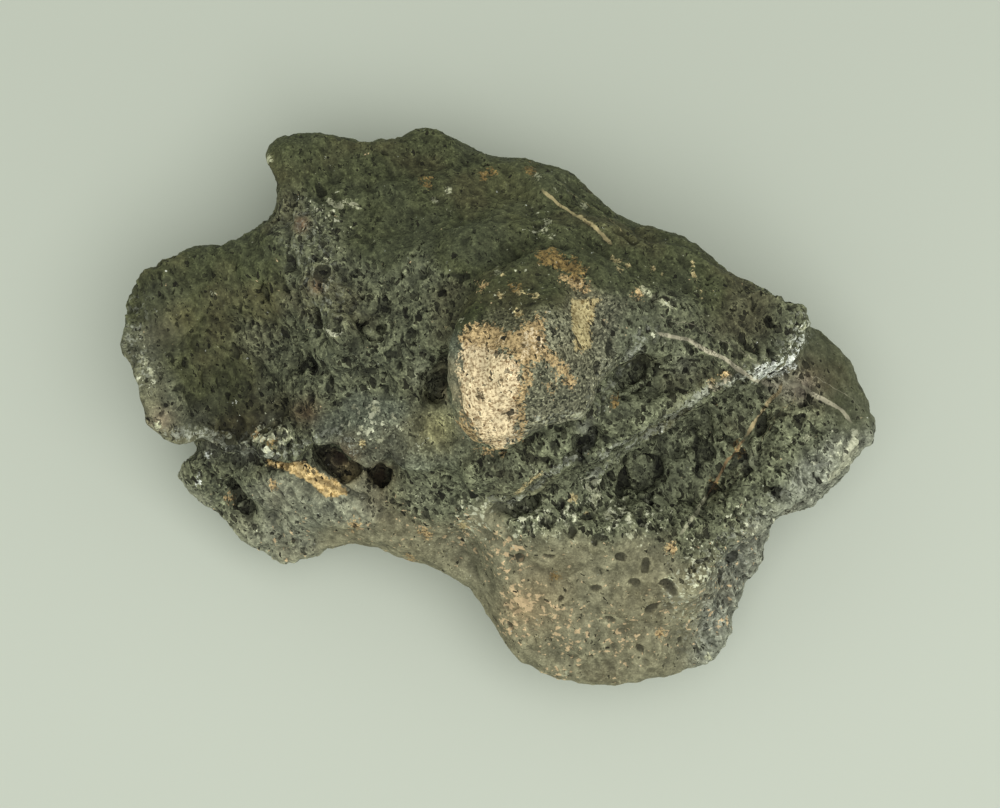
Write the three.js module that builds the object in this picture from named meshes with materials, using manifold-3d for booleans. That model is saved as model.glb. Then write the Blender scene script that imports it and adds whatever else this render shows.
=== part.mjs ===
// A suiseki stone: one natural piece of vesicular basalt, lying on the flat of its underside.
// Millimetres, +Z up. X runs along the stone, -Y is the side with the lower step.
//
// The stone is two uneven tiers. The upper one is a long crag that ends in a sharp ledge; the lower
// one reaches out from under it as three lobes. A water-worn knob sits on top. Each tier and the knob
// is a ball pressed into its own rim line and filled up to its own crown heights. Small lumps are
// joined on, hollows and pits are cut out, and the foot is ground flat.

import * as THREE from 'three';
import { ImprovedNoise } from 'three/addons/math/ImprovedNoise.js';
import { MeshSurfaceSampler } from 'three/addons/math/MeshSurfaceSampler.js';
import { mergeVertices } from 'three/addons/utils/BufferGeometryUtils.js';
import Module from 'manifold-3d';

// Driving dimensions

const FOOT_DEPTH = 4; // how deep the underside is ground away to make the flat foot
const CRAG_WIDTH = 21; // spacing of the coarse crags on the broken faces
const CRAG_HEIGHT = 2.1;
const CRAG_LIE = new THREE.Vector3(0.4, 0.4, 1); // crags stand up more than they stick out sideways
const CRAG_RIDGES = { crest: 0.5, fall: 2.4 }; // shares of the crag height, at a crest and down from it
const CRAG_STEPS = { closer: 2.3, height: 0.9, shift: 7 }; // smaller steps laid over the crags
const SMALL_FORM_CRAGS = 0.5; // height of the crags on lumps and in hollows, against the broken faces
const PIT_COUNT = 38; // gas pits large enough to be cut into the solid
const PIT_RADIUS = { smallest: 1.7, largest: 3.6 };
const PIT_SPACING = 8;
const PIT_STRETCH = 1.25; // length of a pit over its width
const PIT_SEED = 11;
const PIT_TRIES = 40; // places tried for each pit
const LOWEST_PIT = 5;
const PITTED_FROM = 0.9; // how broken a face is before it has pits, from 0 for worn to 1
const CROWN_SOFTENING = 3; // how widely each crown height spreads over its neighbours
const GROUND = { width: 300, depth: 40 }; // what is ground away under the foot
const RIM_STEPS = 10; // points along the curve between two points of a rim
const RIM_SPREAD = 0.6; // how evenly a pressed ball is spread out between its middle and its rim
const FRONT_TO_BACK = { from: -0.4, to: 0.5 }; // where the front of a mass turns into its back

// Rim lines: the widest line round each mass, as [x, y, height]

const UPPER_RIM = [
  // left end, from its front corner round to the notch under the peak
  [-82, -7.5, 40], [-88, -5, 40], [-90, 3.5, 40], [-92.5, 12.5, 40], [-96, 17, 40], [-95, 21.5, 40],
  [-92, 24, 40], [-94.5, 28, 40], [-91.5, 33.5, 39], [-80, 39.5, 36], [-67, 42, 35], [-61, 46, 34],
  [-55.5, 55.5, 32],
  // peak at the back, and the long back edge
  [-59, 64, 34], [-49.5, 69.5, 33], [-38, 69, 32], [-27, 68, 30], [-21, 71, 30], [-16, 71.5, 30],
  [-5.5, 65, 29], [8.5, 63, 30], [19, 59.5, 32], [28.5, 50, 36], [39, 44.5, 42], [48, 41.5, 45],
  [57, 33.5, 50], [72, 26, 60],
  // right tip and the main ledge
  [75.5, 23, 63], [73.5, 18.5, 63], [71, 12.5, 63], [66, 8, 63], [57, 7.5, 63], [51.5, 4.5, 63],
  [45, 0, 62], [36.5, -4.5, 62], [27, -11.5, 60],
  // apron below the knob
  [22.5, -15.5, 60], [11.5, -16.5, 58], [6, -22, 56], [-4, -22, 55], [-11.5, -14.5, 55],
  // tongue and the left ledge
  [-15.5, -15, 54], [-24, -14, 53], [-28, -11, 52], [-32.5, -12.5, 51], [-40, -7.5, 49],
  [-50, -11.5, 46], [-61.5, -8.5, 43], [-67, -12, 42], [-73, -7, 40],
];

const LOWER_RIM = [
  // left lobe
  [-80, -11.5, 28], [-82, -17, 24], [-77.5, -25, 20], [-64, -36, 20], [-53, -40.5, 20],
  [-42, -34, 24], [-24, -39.5, 25], [-15, -42, 26],
  // front lobe
  [-5, -48.5, 27], [-2.5, -53.5, 27], [3.5, -63, 27], [8, -68, 26], [22.5, -72, 26], [32.5, -71.5, 26],
  [47, -68.5, 27], [56.5, -63, 28], [60, -55, 29], [65.5, -43, 30], [68.5, -39.5, 30], [69.5, -31, 30],
  // right lobe
  [74.5, -25.5, 30], [80.5, -25.5, 30], [89.5, -15.5, 32], [95, -8, 32], [96.5, -4.5, 33], [94, 5, 33],
  [89.5, 12.5, 33], [82.5, 19.5, 32],
  // hidden side, under the upper tier
  [62, 27.5, 26], [39.5, 37.5, 22], [5.5, 55, 18], [-30.5, 59, 18], [-54, 43.5, 18], [-75.5, 24, 22],
  [-81.5, -0.5, 28],
];

const KNOB_RIM = [
  [-12, 17.5, 73], [-12.5, 12, 74], [-11.5, 1, 74], [-9.5, -5, 74], [-4.5, -8.5, 75], [0, -9.5, 75],
  [4, -8.5, 75], [10, -5, 76], [22, -1.5, 76], [24, 2.5, 75], [25.5, 7.5, 74], [30, 10, 73],
  [34, 14.5, 72], [37.5, 20, 70], [35, 29, 67], [28, 36.5, 64], [17.5, 40, 63], [9, 39.5, 64],
  [3.5, 35.5, 67], [-4, 32, 69], [-9, 25, 71],
];

// Crown heights: the lie of each upper surface, as [x, y, height]

const UPPER_CROWN = [
  // bowl at the left end, with its raised edges
  [-85.5, 19.5, 47], [-82, 29.5, 46], [-70.5, 33, 46], [-84.5, 4.5, 47], [-74.5, -4.5, 44],
  [-70, 17, 38], [-66.5, 3, 33], [-61.5, -3, 34], [-57, 14.5, 43], [-53, -7, 46], [-58.5, 29, 48],
  // peak, and the ridge of scoria running down from it
  [-49.5, 59.5, 46], [-41, 64.5, 43], [-49, 44, 54], [-42.5, 30, 59], [-38.5, 19, 61], [-41.5, 4.5, 56],
  // slope along the back
  [-29.5, 61, 43], [-17, 65, 38], [-24, 47.5, 53], [-12, 51.5, 52], [-2, 57, 46], [4, 53, 47],
  [11.5, 52.5, 55], [20.5, 52.5, 52], [-24, 31, 61], [-7, 38.5, 66], [-13, 30, 68], [4, 44, 65],
  // saddle left of the knob
  [-29, 16.5, 63], [-19, 19, 67], [-16.5, 5.5, 62], [-31.5, 2, 57], [-39, -4.5, 53], [-26.5, -5.5, 56],
  [-18, -9, 57],
  // shoulder that carries the knob, and the plateau right of it
  [0.5, 13.5, 78], [15, 18.5, 78], [25, 42.5, 65], [15, 42, 67], [32, 37, 67], [41.5, 37, 66],
  [49, 31, 66], [34, 25.5, 74], [46, 21, 72], [57.5, 23.5, 67], [68.5, 21.5, 65], [48.5, 14, 70],
  [61, 14, 67], [36.5, 16, 73],
  // trough below the knob, and the apron
  [34.5, 8, 64], [41.5, 5.5, 66], [29.5, 0.5, 67], [24.5, -3, 68], [15, -8, 69], [8, -14.5, 65],
  [0.5, -13, 65], [-7, -11, 62],
];

const LOWER_CROWN = [
  // left lobe
  [-76, -16, 31], [-72.5, -23.5, 27], [-62.5, -18.5, 39], [-58, -28.5, 32], [-53.5, -34, 27],
  [-49.5, -20.5, 42], [-37, -23, 43], [-24.5, -28.5, 42], [-28, -19, 46], [-12, -38.5, 36],
  // valley under the ledge
  [-12, -23, 49], [-4.5, -25, 50], [6, -26, 49], [15.5, -23, 46], [30.5, -20.5, 41], [38, -13, 40],
  [48, -10.5, 38], [50.5, -20.5, 38], [60.5, -5.5, 41], [58, -14, 40], [70, 2, 46],
  // hidden rise that carries the upper tier
  [-72, -2, 40], [-62, -2, 43], [-50, -5, 46], [-40, -3, 49], [-30, -6, 51], [-20, -9, 53],
  [-10, -9, 57], [-4, -15, 56], [6, -15, 57], [16, -10, 60], [27, -2, 60], [36, 5, 60], [46, 10, 60],
  [56, 16, 60], [66, 17, 59], [-45, 15, 50], [-10, 15, 55], [25, 25, 60], [50, 26, 58],
  // crest between the valley and the lobes
  [0.5, -29, 48], [15.5, -30.5, 50], [30, -31.5, 52], [42.5, -35.5, 50], [51.5, -34, 50],
  [60, -26.5, 52], [70, -19.5, 51], [80.5, -12, 50], [88, -3, 48], [48, -44, 48],
  // right lobe
  [76, 8, 50], [84, 10.5, 45], [88, 3, 45], [76, -22, 40],
  // front lobe and its right flank
  [33, -45.5, 47], [15.5, -48, 45], [5.5, -48.5, 42], [25.5, -58.5, 42], [10.5, -61.5, 36],
  [38, -58.5, 41], [26, -68, 33], [49, -61.5, 33], [65, -32, 37], [60, -44, 34], [55, -54, 33],
];

const KNOB_CROWN = [
  [-6.5, 16, 86], [-4, 2, 89], [5, 8.5, 93], [0.5, 25.5, 82], [10, 18, 89], [14.5, 32.5, 76],
  [21.5, 25.5, 79], [14.5, 4, 87], [29, 25.5, 77], [29, 16, 78], [0.5, -5.5, 86], [20.5, 2, 83],
];

// Small forms: lumps that stand on the tiers and hollows that are cut into them.
// at is the middle, size the half widths, turn the swing about +Z in degrees.

const LUMPS = [
  { name: 'nub on the scoria ridge', at: [-38, 19, 61.5], size: [4.4, 4.6, 4.4], turn: 0 },
  { name: 'crumbly lump on the left ledge', at: [-55, -7.5, 45], size: [5.5, 4, 4], turn: 10 },
  { name: 'smooth tongue', at: [-19, -8, 53], size: [6.5, 9, 5], turn: -15 },
  { name: 'shoulder of the tongue', at: [-29, -4, 53], size: [9, 6, 5], turn: 20 },
];

const HOLLOWS = [
  { name: 'cleft left of the knob', at: [-15.5, 4, 64], size: [4.5, 6, 10], turn: 15 },
  { name: 'cave under the left ledge', at: [-40, -13, 43], size: [5, 6, 7], turn: 0 },
  { name: 'slot beside the cave', at: [-28.5, -17, 43], size: [2.4, 3.6, 6], turn: 10 },
  { name: 'crescent on the left lobe', at: [-66.5, -24.5, 31], size: [6.5, 2.8, 6], turn: -50 },
  { name: 'wedge under the apron', at: [21.5, -9.5, 58], size: [5, 2.4, 8], turn: 35 },
  { name: 'arch under the apron', at: [5, -24.5, 50], size: [4, 2.6, 5], turn: 0 },
  { name: 'recess under the knob', at: [32, 9, 67], size: [6, 3.6, 6], turn: 20 },
  { name: 'trough along the ledge', at: [44, 5, 66], size: [11, 3.6, 4], turn: 20 },
  { name: 'pocket under the ledge, right', at: [58, -4.5, 52], size: [2.6, 3, 5], turn: 0 },
  { name: 'pocket under the ledge, middle', at: [49, -14, 51], size: [3, 3, 5], turn: 0 },
  { name: 'pocket under the ledge, left', at: [36, -14, 52], size: [4.5, 2.6, 5], turn: 10 },
  { name: 'pocket on the right lobe', at: [67, -19.5, 43], size: [2, 3, 5], turn: 20 },
  { name: 'hole behind the ridge', at: [-28, 33.5, 60], size: [2.4, 4, 5], turn: -20 },
  { name: 'hole right of the nub', at: [-29, 19, 62], size: [2.4, 2.8, 5], turn: 0 },
  { name: 'hole behind the knob', at: [-8.5, 33, 61], size: [2.2, 2.8, 6], turn: 0 },
  { name: 'hole beside the nub', at: [-43, 21.5, 60], size: [2, 3.4, 5], turn: 0 },
  { name: 'scar at the back of the bowl', at: [-58.5, 30, 49], size: [2.6, 5, 4], turn: -25 },
  { name: 'crack in the back edge', at: [32.5, 42, 55], size: [6, 1.4, 6], turn: 15 },
  { name: 'hollow in the back face', at: [-36, 70, 20], size: [12, 6, 8], turn: 0 },
  { name: 'hollow at the back right', at: [45, 44, 26], size: [11, 7, 7], turn: -35 },
  { name: 'hollow under the left end', at: [-88, 10, 22], size: [8, 12, 8], turn: 10 },
];

// Worn places, where the skin of the stone has no large pits: [x, y, z, radius]

const WORN_PLACES = [
  [8, 12, 86, 24],
  [24, -58, 36, 24],
  [90, 4, 40, 14],
  [0, 52, 50, 12],
  [-20, -8, 55, 11],
];

const WORN_CRAG_SHARE = 0.25; // height of the crags on a worn place, against the broken faces
const WORN_EDGE = { inner: 0.7, outer: 1.2 }; // a worn place fades out between these shares of its radius

// The stone's own noise and chance

const noise = new ImprovedNoise();

function brokenness(point) {
  const place = new THREE.Vector3();
  const shares = WORN_PLACES.map(([x, y, z, reach]) => (
    THREE.MathUtils.smoothstep(
      point.distanceTo(place.set(x, y, z)) / reach, WORN_EDGE.inner, WORN_EDGE.outer,
    )
  ));
  return Math.min(...shares);
}

function crag(point) {
  const { x, y, z } = point.clone().divideScalar(CRAG_WIDTH);
  const { closer, height, shift } = CRAG_STEPS;
  const ridges = CRAG_RIDGES.crest - CRAG_RIDGES.fall * Math.abs(noise.noise(x, y, z));
  const steps = height * noise.noise(closer * x, closer * y, closer * z + shift);
  const share = THREE.MathUtils.lerp(WORN_CRAG_SHARE, 1, brokenness(point));
  return CRAG_HEIGHT * share * (ridges + steps);
}

function seededChance(seed) {
  let state = seed;
  return () => {
    state = (state + 0x6d2b79f5) | 0;
    let mixed = Math.imul(state ^ (state >>> 15), 1 | state);
    mixed = (mixed + Math.imul(mixed ^ (mixed >>> 7), 61 | mixed)) ^ mixed;
    return ((mixed ^ (mixed >>> 14)) >>> 0) / 2 ** 32;
  };
}

// Solids in and out of the boolean library

const wasm = await Module();
wasm.setup();

function toSolid(geometry) {
  return new wasm.Manifold(new wasm.Mesh({
    numProp: 3,
    vertProperties: new Float32Array(geometry.attributes.position.array),
    triVerts: new Uint32Array(geometry.index.array),
  }));
}

function toGeometry(solid) {
  const { vertProperties, triVerts } = solid.getMesh();
  const geometry = new THREE.BufferGeometry();
  geometry.setAttribute('position', new THREE.BufferAttribute(vertProperties, 3));
  geometry.setIndex(new THREE.BufferAttribute(triVerts, 1));
  geometry.computeVertexNormals();
  return geometry;
}

function closed(geometry) {
  geometry.deleteAttribute('normal');
  geometry.deleteAttribute('uv');
  return mergeVertices(geometry);
}

// Push every point of a surface in or out along its normal, so that it turns craggy.
function roughen(geometry, share = 1) {
  geometry.computeVertexNormals();
  const { position, normal } = geometry.attributes;
  const point = new THREE.Vector3();
  const outward = new THREE.Vector3();
  for (let i = 0; i < position.count; i += 1) {
    point.fromBufferAttribute(position, i);
    outward.fromBufferAttribute(normal, i).multiply(CRAG_LIE);
    point.addScaledVector(outward, share * crag(point));
    position.setXYZ(i, point.x, point.y, point.z);
  }
}

// The rim seen from its middle: how far out and how high it is in any direction.
function rimFinder(rim, middle) {
  const curve = new THREE.CatmullRomCurve3(rim.map((point) => new THREE.Vector3(...point)), true);
  const samples = curve.getPoints(rim.length * RIM_STEPS).map((point) => ({
    direction: Math.atan2(point.y - middle[1], point.x - middle[0]),
    reach: Math.hypot(point.x - middle[0], point.y - middle[1]),
    height: point.z,
  }));
  samples.sort((a, b) => a.direction - b.direction);
  return (direction) => {
    let next = samples.findIndex((sample) => sample.direction > direction);
    if (next < 1) next = 0;
    const after = samples[next];
    const before = samples.at(next - 1);
    const turn = 2 * Math.PI;
    const span = (after.direction - before.direction + turn) % turn;
    const share = span === 0 ? 0 : ((direction - before.direction + turn) % turn) / span;
    return {
      reach: THREE.MathUtils.lerp(before.reach, after.reach, share),
      height: THREE.MathUtils.lerp(before.height, after.height, share),
    };
  };
}

// Height of a surface that passes near each spot height, nearest spots first.
function layOfLand(spots) {
  return (x, y) => {
    let total = 0;
    let weights = 0;
    for (const [spotX, spotY, height] of spots) {
      const weight = 1 / ((x - spotX) ** 2 + (y - spotY) ** 2 + CROWN_SOFTENING ** 2) ** 2;
      total += weight * height;
      weights += weight;
    }
    return total / weights;
  };
}

// A ball pressed into a rim: above the rim it fills up to the crown, below it down to the keel.
// A fullness of 1 is a straight cone and 4 is nearly a box; front and back are the -Y and +Y sides.
function pressedMass({ rim, middle, crown, keel, fullness, stretch, detail }) {
  const geometry = closed(new THREE.IcosahedronGeometry(1, detail));
  const rimAt = rimFinder(rim, middle);
  const crownAt = layOfLand(crown);
  const { position } = geometry.attributes;
  const point = new THREE.Vector3();
  for (let i = 0; i < position.count; i += 1) {
    point.fromBufferAttribute(position, i);
    const direction = Math.atan2(point.y, point.x * stretch);
    const { reach, height } = rimAt(direction);
    const slope = Math.acos(Math.min(1, Math.abs(point.z))) / (Math.PI / 2);
    const outward = THREE.MathUtils.lerp(Math.hypot(point.x, point.y), slope, RIM_SPREAD);
    const x = middle[0] + Math.cos(direction) * reach * outward;
    const y = middle[1] + Math.sin(direction) * reach * outward;
    const upper = point.z > 0;
    const toBack = THREE.MathUtils.smoothstep(
      Math.sin(direction), FRONT_TO_BACK.from, FRONT_TO_BACK.to,
    );
    const edge = upper ? fullness.above : THREE.MathUtils.lerp(fullness.front, fullness.back, toBack);
    const fill = Math.max(0, 1 - outward ** edge) ** (1 / edge);
    position.setXYZ(i, x, y, height + fill * ((upper ? crownAt(x, y) : keel) - height));
  }
  roughen(geometry);
  return toSolid(geometry);
}

// An uneven pebble-shaped form, used for small lumps, hollows and pits.
function pebble({ at, size, turn }, detail) {
  const geometry = closed(new THREE.IcosahedronGeometry(1, detail));
  geometry.scale(...size);
  geometry.rotateZ(THREE.MathUtils.degToRad(turn));
  geometry.translate(...at);
  if (detail > 0) roughen(geometry, SMALL_FORM_CRAGS);
  return toSolid(geometry);
}

// Gas pits, scattered over the broken faces and kept off the worn places and the foot.
function gasPits(solid) {
  const chance = seededChance(PIT_SEED);
  const surface = new THREE.Mesh(toGeometry(solid).toNonIndexed());
  const sampler = new MeshSurfaceSampler(surface).setRandomGenerator(chance).build();
  const pits = [];
  const point = new THREE.Vector3();
  const spot = new THREE.Vector3();
  for (let tries = 0; pits.length < PIT_COUNT && tries < PIT_TRIES * PIT_COUNT; tries += 1) {
    sampler.sample(point);
    const radius = THREE.MathUtils.lerp(PIT_RADIUS.smallest, PIT_RADIUS.largest, chance() ** 2);
    const onItsOwn = pits.every((pit) => point.distanceTo(spot.set(...pit.at)) > PIT_SPACING);
    if (point.z > LOWEST_PIT && brokenness(point) > PITTED_FROM && onItsOwn) {
      const size = [radius, radius * PIT_STRETCH, radius];
      pits.push({ at: point.toArray(), size, turn: 180 * chance() });
    }
  }
  return pits;
}

function buildStone() {
  const lower = pressedMass({
    rim: LOWER_RIM,
    middle: [5, -8],
    crown: LOWER_CROWN,
    keel: -FOOT_DEPTH,
    fullness: { above: 2.6, front: 2.2, back: 2.2 },
    stretch: 1.7,
    detail: 11,
  });
  const upper = pressedMass({
    rim: UPPER_RIM,
    middle: [-7, 27],
    crown: UPPER_CROWN,
    keel: 4,
    fullness: { above: 3, front: 1.4, back: 2.8 },
    stretch: 2,
    detail: 12,
  });
  const knob = pressedMass({
    rim: KNOB_RIM,
    middle: [8, 12],
    crown: KNOB_CROWN,
    keel: 60,
    fullness: { above: 2.8, front: 4, back: 4 },
    stretch: 1,
    detail: 4,
  });
  let stone = lower.add(upper).add(knob);
  for (const lump of LUMPS) stone = stone.add(pebble(lump, 1));
  for (const hollow of HOLLOWS) stone = stone.subtract(pebble(hollow, 1));
  for (const pit of gasPits(stone)) stone = stone.subtract(pebble(pit, 0));
  const ground = closed(new THREE.BoxGeometry(GROUND.width, GROUND.width, GROUND.depth));
  ground.translate(0, 0, -GROUND.depth / 2);
  return stone.subtract(toSolid(ground));
}

const stoneGeometry = toGeometry(buildStone());
stoneGeometry.computeBoundingBox();
const { min, max } = stoneGeometry.boundingBox;
stoneGeometry.translate(-(min.x + max.x) / 2, -(min.y + max.y) / 2, 0);

const basalt = new THREE.MeshStandardMaterial({ color: 0x4d4f45, roughness: 0.92, metalness: 0 });
const stone = new THREE.Mesh(stoneGeometry, basalt);
stone.name = 'stone';

const group = new THREE.Group();
group.add(stone);

export default group;
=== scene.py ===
"""A suiseki stone: one piece of vesicular basalt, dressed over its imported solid.

The solid gives the stone its masses and ledges. This script rounds off its facets, presses ridges and
grooves into it, lets crags and gas bubbles break its surface, and stains it.
Places on the stone are plan points: X and Y in millimetres, as the eye straight above sees them on a
level plane through the stone.
"""

import bmesh
import bpy
import numpy as np
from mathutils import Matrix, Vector
from mathutils.bvhtree import BVHTree


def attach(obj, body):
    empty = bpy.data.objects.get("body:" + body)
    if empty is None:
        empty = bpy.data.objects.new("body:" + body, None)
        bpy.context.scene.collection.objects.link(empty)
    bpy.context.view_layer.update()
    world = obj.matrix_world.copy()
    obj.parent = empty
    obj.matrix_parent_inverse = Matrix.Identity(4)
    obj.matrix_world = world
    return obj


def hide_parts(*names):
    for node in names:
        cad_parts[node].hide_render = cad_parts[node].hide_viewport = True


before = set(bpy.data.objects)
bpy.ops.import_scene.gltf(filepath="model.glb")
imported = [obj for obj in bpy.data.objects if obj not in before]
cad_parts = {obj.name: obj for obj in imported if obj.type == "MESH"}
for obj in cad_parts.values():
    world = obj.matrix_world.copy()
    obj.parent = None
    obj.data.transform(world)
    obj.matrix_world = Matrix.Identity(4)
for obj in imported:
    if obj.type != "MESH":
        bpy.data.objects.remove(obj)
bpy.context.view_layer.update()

MM = 0.001

# The eye above the stone, a little to the right of its middle and behind it, and the height and width
# of the plane that plan points are measured on
EYE_HEIGHT = 735.0
EYE_SIDESTEP = (0.5, 0.9)
PLAN_HEIGHT = 45.0
PLAN_WIDTH = 250.0
# Where a line of sight misses the stone, the stone is searched beside it at these heights
SIGHT_HEIGHTS = range(0, 90, 5)
# A place is hidden when it lies this far under the highest one in its cell of the plan
PLAN_CELL = 1.2
PLAN_CELLS = 400
HIDDEN_UNDER = 9.0
HIDDEN_FADE = 3.0

# What the mesh keeps one, three or four numbers for each of its points as
KEPT_AS = {1: ("FLOAT", "value"), 3: ("FLOAT_VECTOR", "vector"), 4: ("FLOAT_COLOR", "color")}

# The body mesh
BODY_VOXEL = 1.6
FACET_SMOOTHING = 8
TRIANGLE_LIMIT = 197000

# Ridges and grooves, drawn on the stone: points, half width and height in mm (a groove is negative).
# Each reaches a few half widths to either side, and a ridge has a sharper foot than a groove.
STROKE_REACH = 2.5
RIDGE_REACH = 1.6
RIDGE_SHARPNESS = 1.6
STROKES = {
    "main ledge": (
        [(76, 21.5), (74.5, 15.5), (72, 11.5), (68, 8.5), (59, 8.5), (52, 5), (47, 0), (37, -6),
         (27, -12.5), (23.5, -17.5)],
        2.8, 2.6,
    ),
    "inner ridge": ([(50.5, 5), (43.5, 2), (37, -1), (35, -4.5)], 2.5, 2.0),
    "broken edge of the knob": (
        [(24, -1), (25, 2.5), (27, 8), (31.5, 10), (33, 13.5), (36, 16.5), (39, 19.5)], 2.6, 1.0,
    ),
    "front rim of the knob": (
        [(1, -9.5), (5.5, -7.5), (10, -2.5), (12, -3.5), (16, -3), (23, -1)], 2.0, 0.8,
    ),
    "apron lip": (
        [(24, -6.5), (23, -9.5), (17.5, -13.5), (12, -17), (8, -20.5), (4, -23), (-3, -23), (-6, -19),
         (-6.5, -15)],
        2.4, 2.0,
    ),
    "crest": (
        [(91, -6), (84, -11), (75.5, -18), (67, -25), (59, -31), (52, -38.5), (46, -46)], 5.0, 3.0,
    ),
    "left ledge": (
        [(-83, -7), (-73, -6.5), (-66.5, -11), (-61, -9), (-53, -11), (-49.5, -10.5), (-45, -7.5),
         (-38, -7), (-34.5, -11), (-31, -12.5), (-27, -10.5), (-23.5, -14), (-15.5, -14.5)],
        2.2, 2.4,
    ),
    "under the left ledge": (
        [(-79, -10.5), (-73, -10), (-67, -14), (-61, -12.5), (-53, -14.5), (-47, -13)], 2.4, -2.2,
    ),
    "bottom of the bowl": ([(-74, -1), (-68, -5), (-60, -5), (-54, -3)], 5.0, -3.0),
    "peak ridge": ([(-56.5, 62.5), (-53.5, 54.5), (-49.5, 43), (-45, 34.5), (-41.5, 25.5)], 6.0, 2.0),
    "bowl side": ([(-38, 15.5), (-38, 8), (-43, 2), (-49.5, -4.5)], 5.0, 1.6),
    "left rim": (
        [(-89.5, 33), (-92.5, 27), (-91, 20.5), (-92.5, 15.5), (-89, 9.5), (-87, 2), (-84.5, -4.5)],
        3.0, 2.2,
    ),
    "corner of the left end": ([(-94, 34), (-92, 33), (-92, 31)], 3.0, -2.2),
    "back edge": (
        [(12, 54.5), (19, 48), (27, 43), (35.5, 40.5), (48, 36.5), (60.5, 29.5), (73, 25.5)], 4.0, 1.2,
    ),
    "shoulder of the front lobe": ([(2, -28), (14, -33), (28, -35), (40.5, -33), (50.5, -28)], 5.0, 1.4),
    "groove under the main ledge": (
        [(73.5, 5.5), (65.5, 3), (55.5, 0.5), (48, -5.5), (39, -12), (30.5, -17)], 5.0, -4.5,
    ),
    "wedge under the apron": ([(24, -7), (21.5, -11), (17.5, -15.5)], 2.4, -7.0),
    "arch under the apron": ([(0.5, -25), (5, -24.5), (9, -23)], 2.4, -4.0),
    "cleft left of the knob": ([(-13, 13), (-14.5, 7), (-16, 2.5)], 2.2, -4.5),
    "foot of the knob": ([(0.5, -11), (7, -10), (12.5, -5.5), (20.5, -3.5)], 2.2, -2.5),
    "recess beside the knob": ([(27, 3), (32.5, 7.5), (37, 11.5)], 3.5, -3.0),
    "trough along the ledge": ([(38, 5.5), (45.5, 9), (52, 11.5)], 3.5, -2.0),
    "cave": ([(-44, -10), (-40, -13.5), (-36.5, -15.5)], 3.5, -4.0),
    "slot": ([(-31.5, -15.5), (-28, -18)], 2.4, -4.0),
    "crescent": ([(-67, -19), (-65, -23), (-62, -26)], 2.2, -5.0),
    "crack in the left lobe": ([(-45, -18), (-38, -21), (-31.5, -23)], 1.2, -1.2),
    "left of the nub": ([(-46.5, 24), (-45.5, 19.5), (-42, 15.5)], 2.4, -3.0),
    "right of the nub": ([(-34, 21.5), (-31.5, 18)], 2.4, -3.0),
    "crack in the back edge": ([(30.5, 43.5), (35, 41)], 1.4, -2.5),
    "dip beside the crack": ([(33, 47), (36, 44.5)], 3.5, -1.4),
    "saddle of the back edge": ([(-37, 70), (-32, 68.5), (-27, 69)], 3.5, -2.2),
    "neck of the horn": ([(-58, 58), (-55.5, 53)], 3.0, -2.2),
    "left shoulder": ([(-86, 37), (-80, 38.5)], 3.5, -1.6),
    "flank of the left lobe": ([(-72, -26), (-68, -30)], 3.0, -1.6),
    "notch at the left": ([(-80, -10), (-76, -9)], 2.2, -1.8),
    "dent in the left rim": ([(-91, 3), (-89, 0)], 2.5, -1.2),
    "holes in the valley": ([(39, -15.5), (35.5, -20.5)], 2.4, -2.5),
}

# Skins: where each kind of surface shows. The nearest spots decide, and spots share softly within
# this many millimetres. Low down, from the second height to the first, the lobes' skin takes over.
SPOT_SOFTNESS = 3.0
LOW_SKIRT = (10.0, 26.0)
LOW_SHARE = 0.8
SKIN_SPOTS = {
    "scoria": [
        (-47, 35), (-50, 48), (-46, 10), (-36, 24), (-24, 24), (-20, 30), (-30, 8), (-14, 28), (-50, 22),
        (46, 22), (60, 26), (66, 20), (56, 14), (-60, 18), (-55, 2), (-50, -8), (-62, -14), (-72, -18),
        (-66, -26), (-36, 8), (-24, 9), (-18, 9), (-30, 14), (-20, 17), (-42, 13), (-34, 30),
        (-15.5, 4), (-40, -13.5), (-28, -17.5), (-60, -12), (-42, 2), (-54, 12),
    ],
    "foam": [
        (36, 10), (44, 4), (30, 2), (22, -6), (12, -12), (4, -15), (-4, -18), (38, -14), (48, -12),
        (54, -4), (62, -4), (46, -22), (56, -20), (30, -20), (18, -24), (70, -8), (-12, -20), (74, 2),
        (34, 18), (40, 16), (62, -16), (48, -28), (38, -26), (26, -28), (8, -27), (-22, -23),
        (76, -4), (66, 2), (54, -28), (66, -12),
    ],
    "olive": [
        (-30, 62), (-14, 62), (0, 60), (-20, 50), (-6, 48), (8, 48), (-28, 40), (14, 52), (22, 46),
        (-48, 62), (-42, 56), (-74, 36), (-60, 36), (56, 28), (-10, 38), (2, 38), (28, 34), (-4, 30),
        (6, 31), (12, 28), (-8, 24), (20, 40), (36, 38), (48, 33),
    ],
    "bowl": [
        (-84, 32), (-90, 25), (-72, 20), (-66, 8), (-64, -2), (-74, 8), (-60, 26), (-76, 28), (-56, -4),
        (-80, 16),
    ],
    "slate": [(-36, -1), (-30, -3), (-23, -5), (-15, -7), (-41, -5), (-12, 14), (-12, 6)],
    "knob": [
        (16, 14), (20, 22), (14, 2), (24, 12), (-2, 10), (4, 0), (12, -1), (22, 4), (12, 18), (0, 20),
        (26, 22),
    ],
    "cap": [(86, 10), (92, 4), (84, 16), (90, 10), (88, 0)],
    "rim": [(-90, 15), (-91, 10), (-87, 3), (-84, -4), (-77, -7)],
    "worn": [
        (10, -36), (22, -38), (34, -38), (14, -46), (26, -46), (38, -46), (22, -58), (34, -58), (10, -56),
        (44, -54), (20, -68), (36, -68), (-6, -38), (-16, -34), (2, -46), (-2, -32), (-26, -30),
        (-38, -32),
    ],
    "flank": [
        (56, -50), (60, -42), (62, -34), (58, -58), (68, -32), (80, -18), (86, -14), (92, -10),
        (74, -24),
    ],
    "lobe": [(-56, -22), (-48, -26), (-40, -24), (-54, -34), (-64, -34), (-76, -22), (-34, -24)],
}

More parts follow.
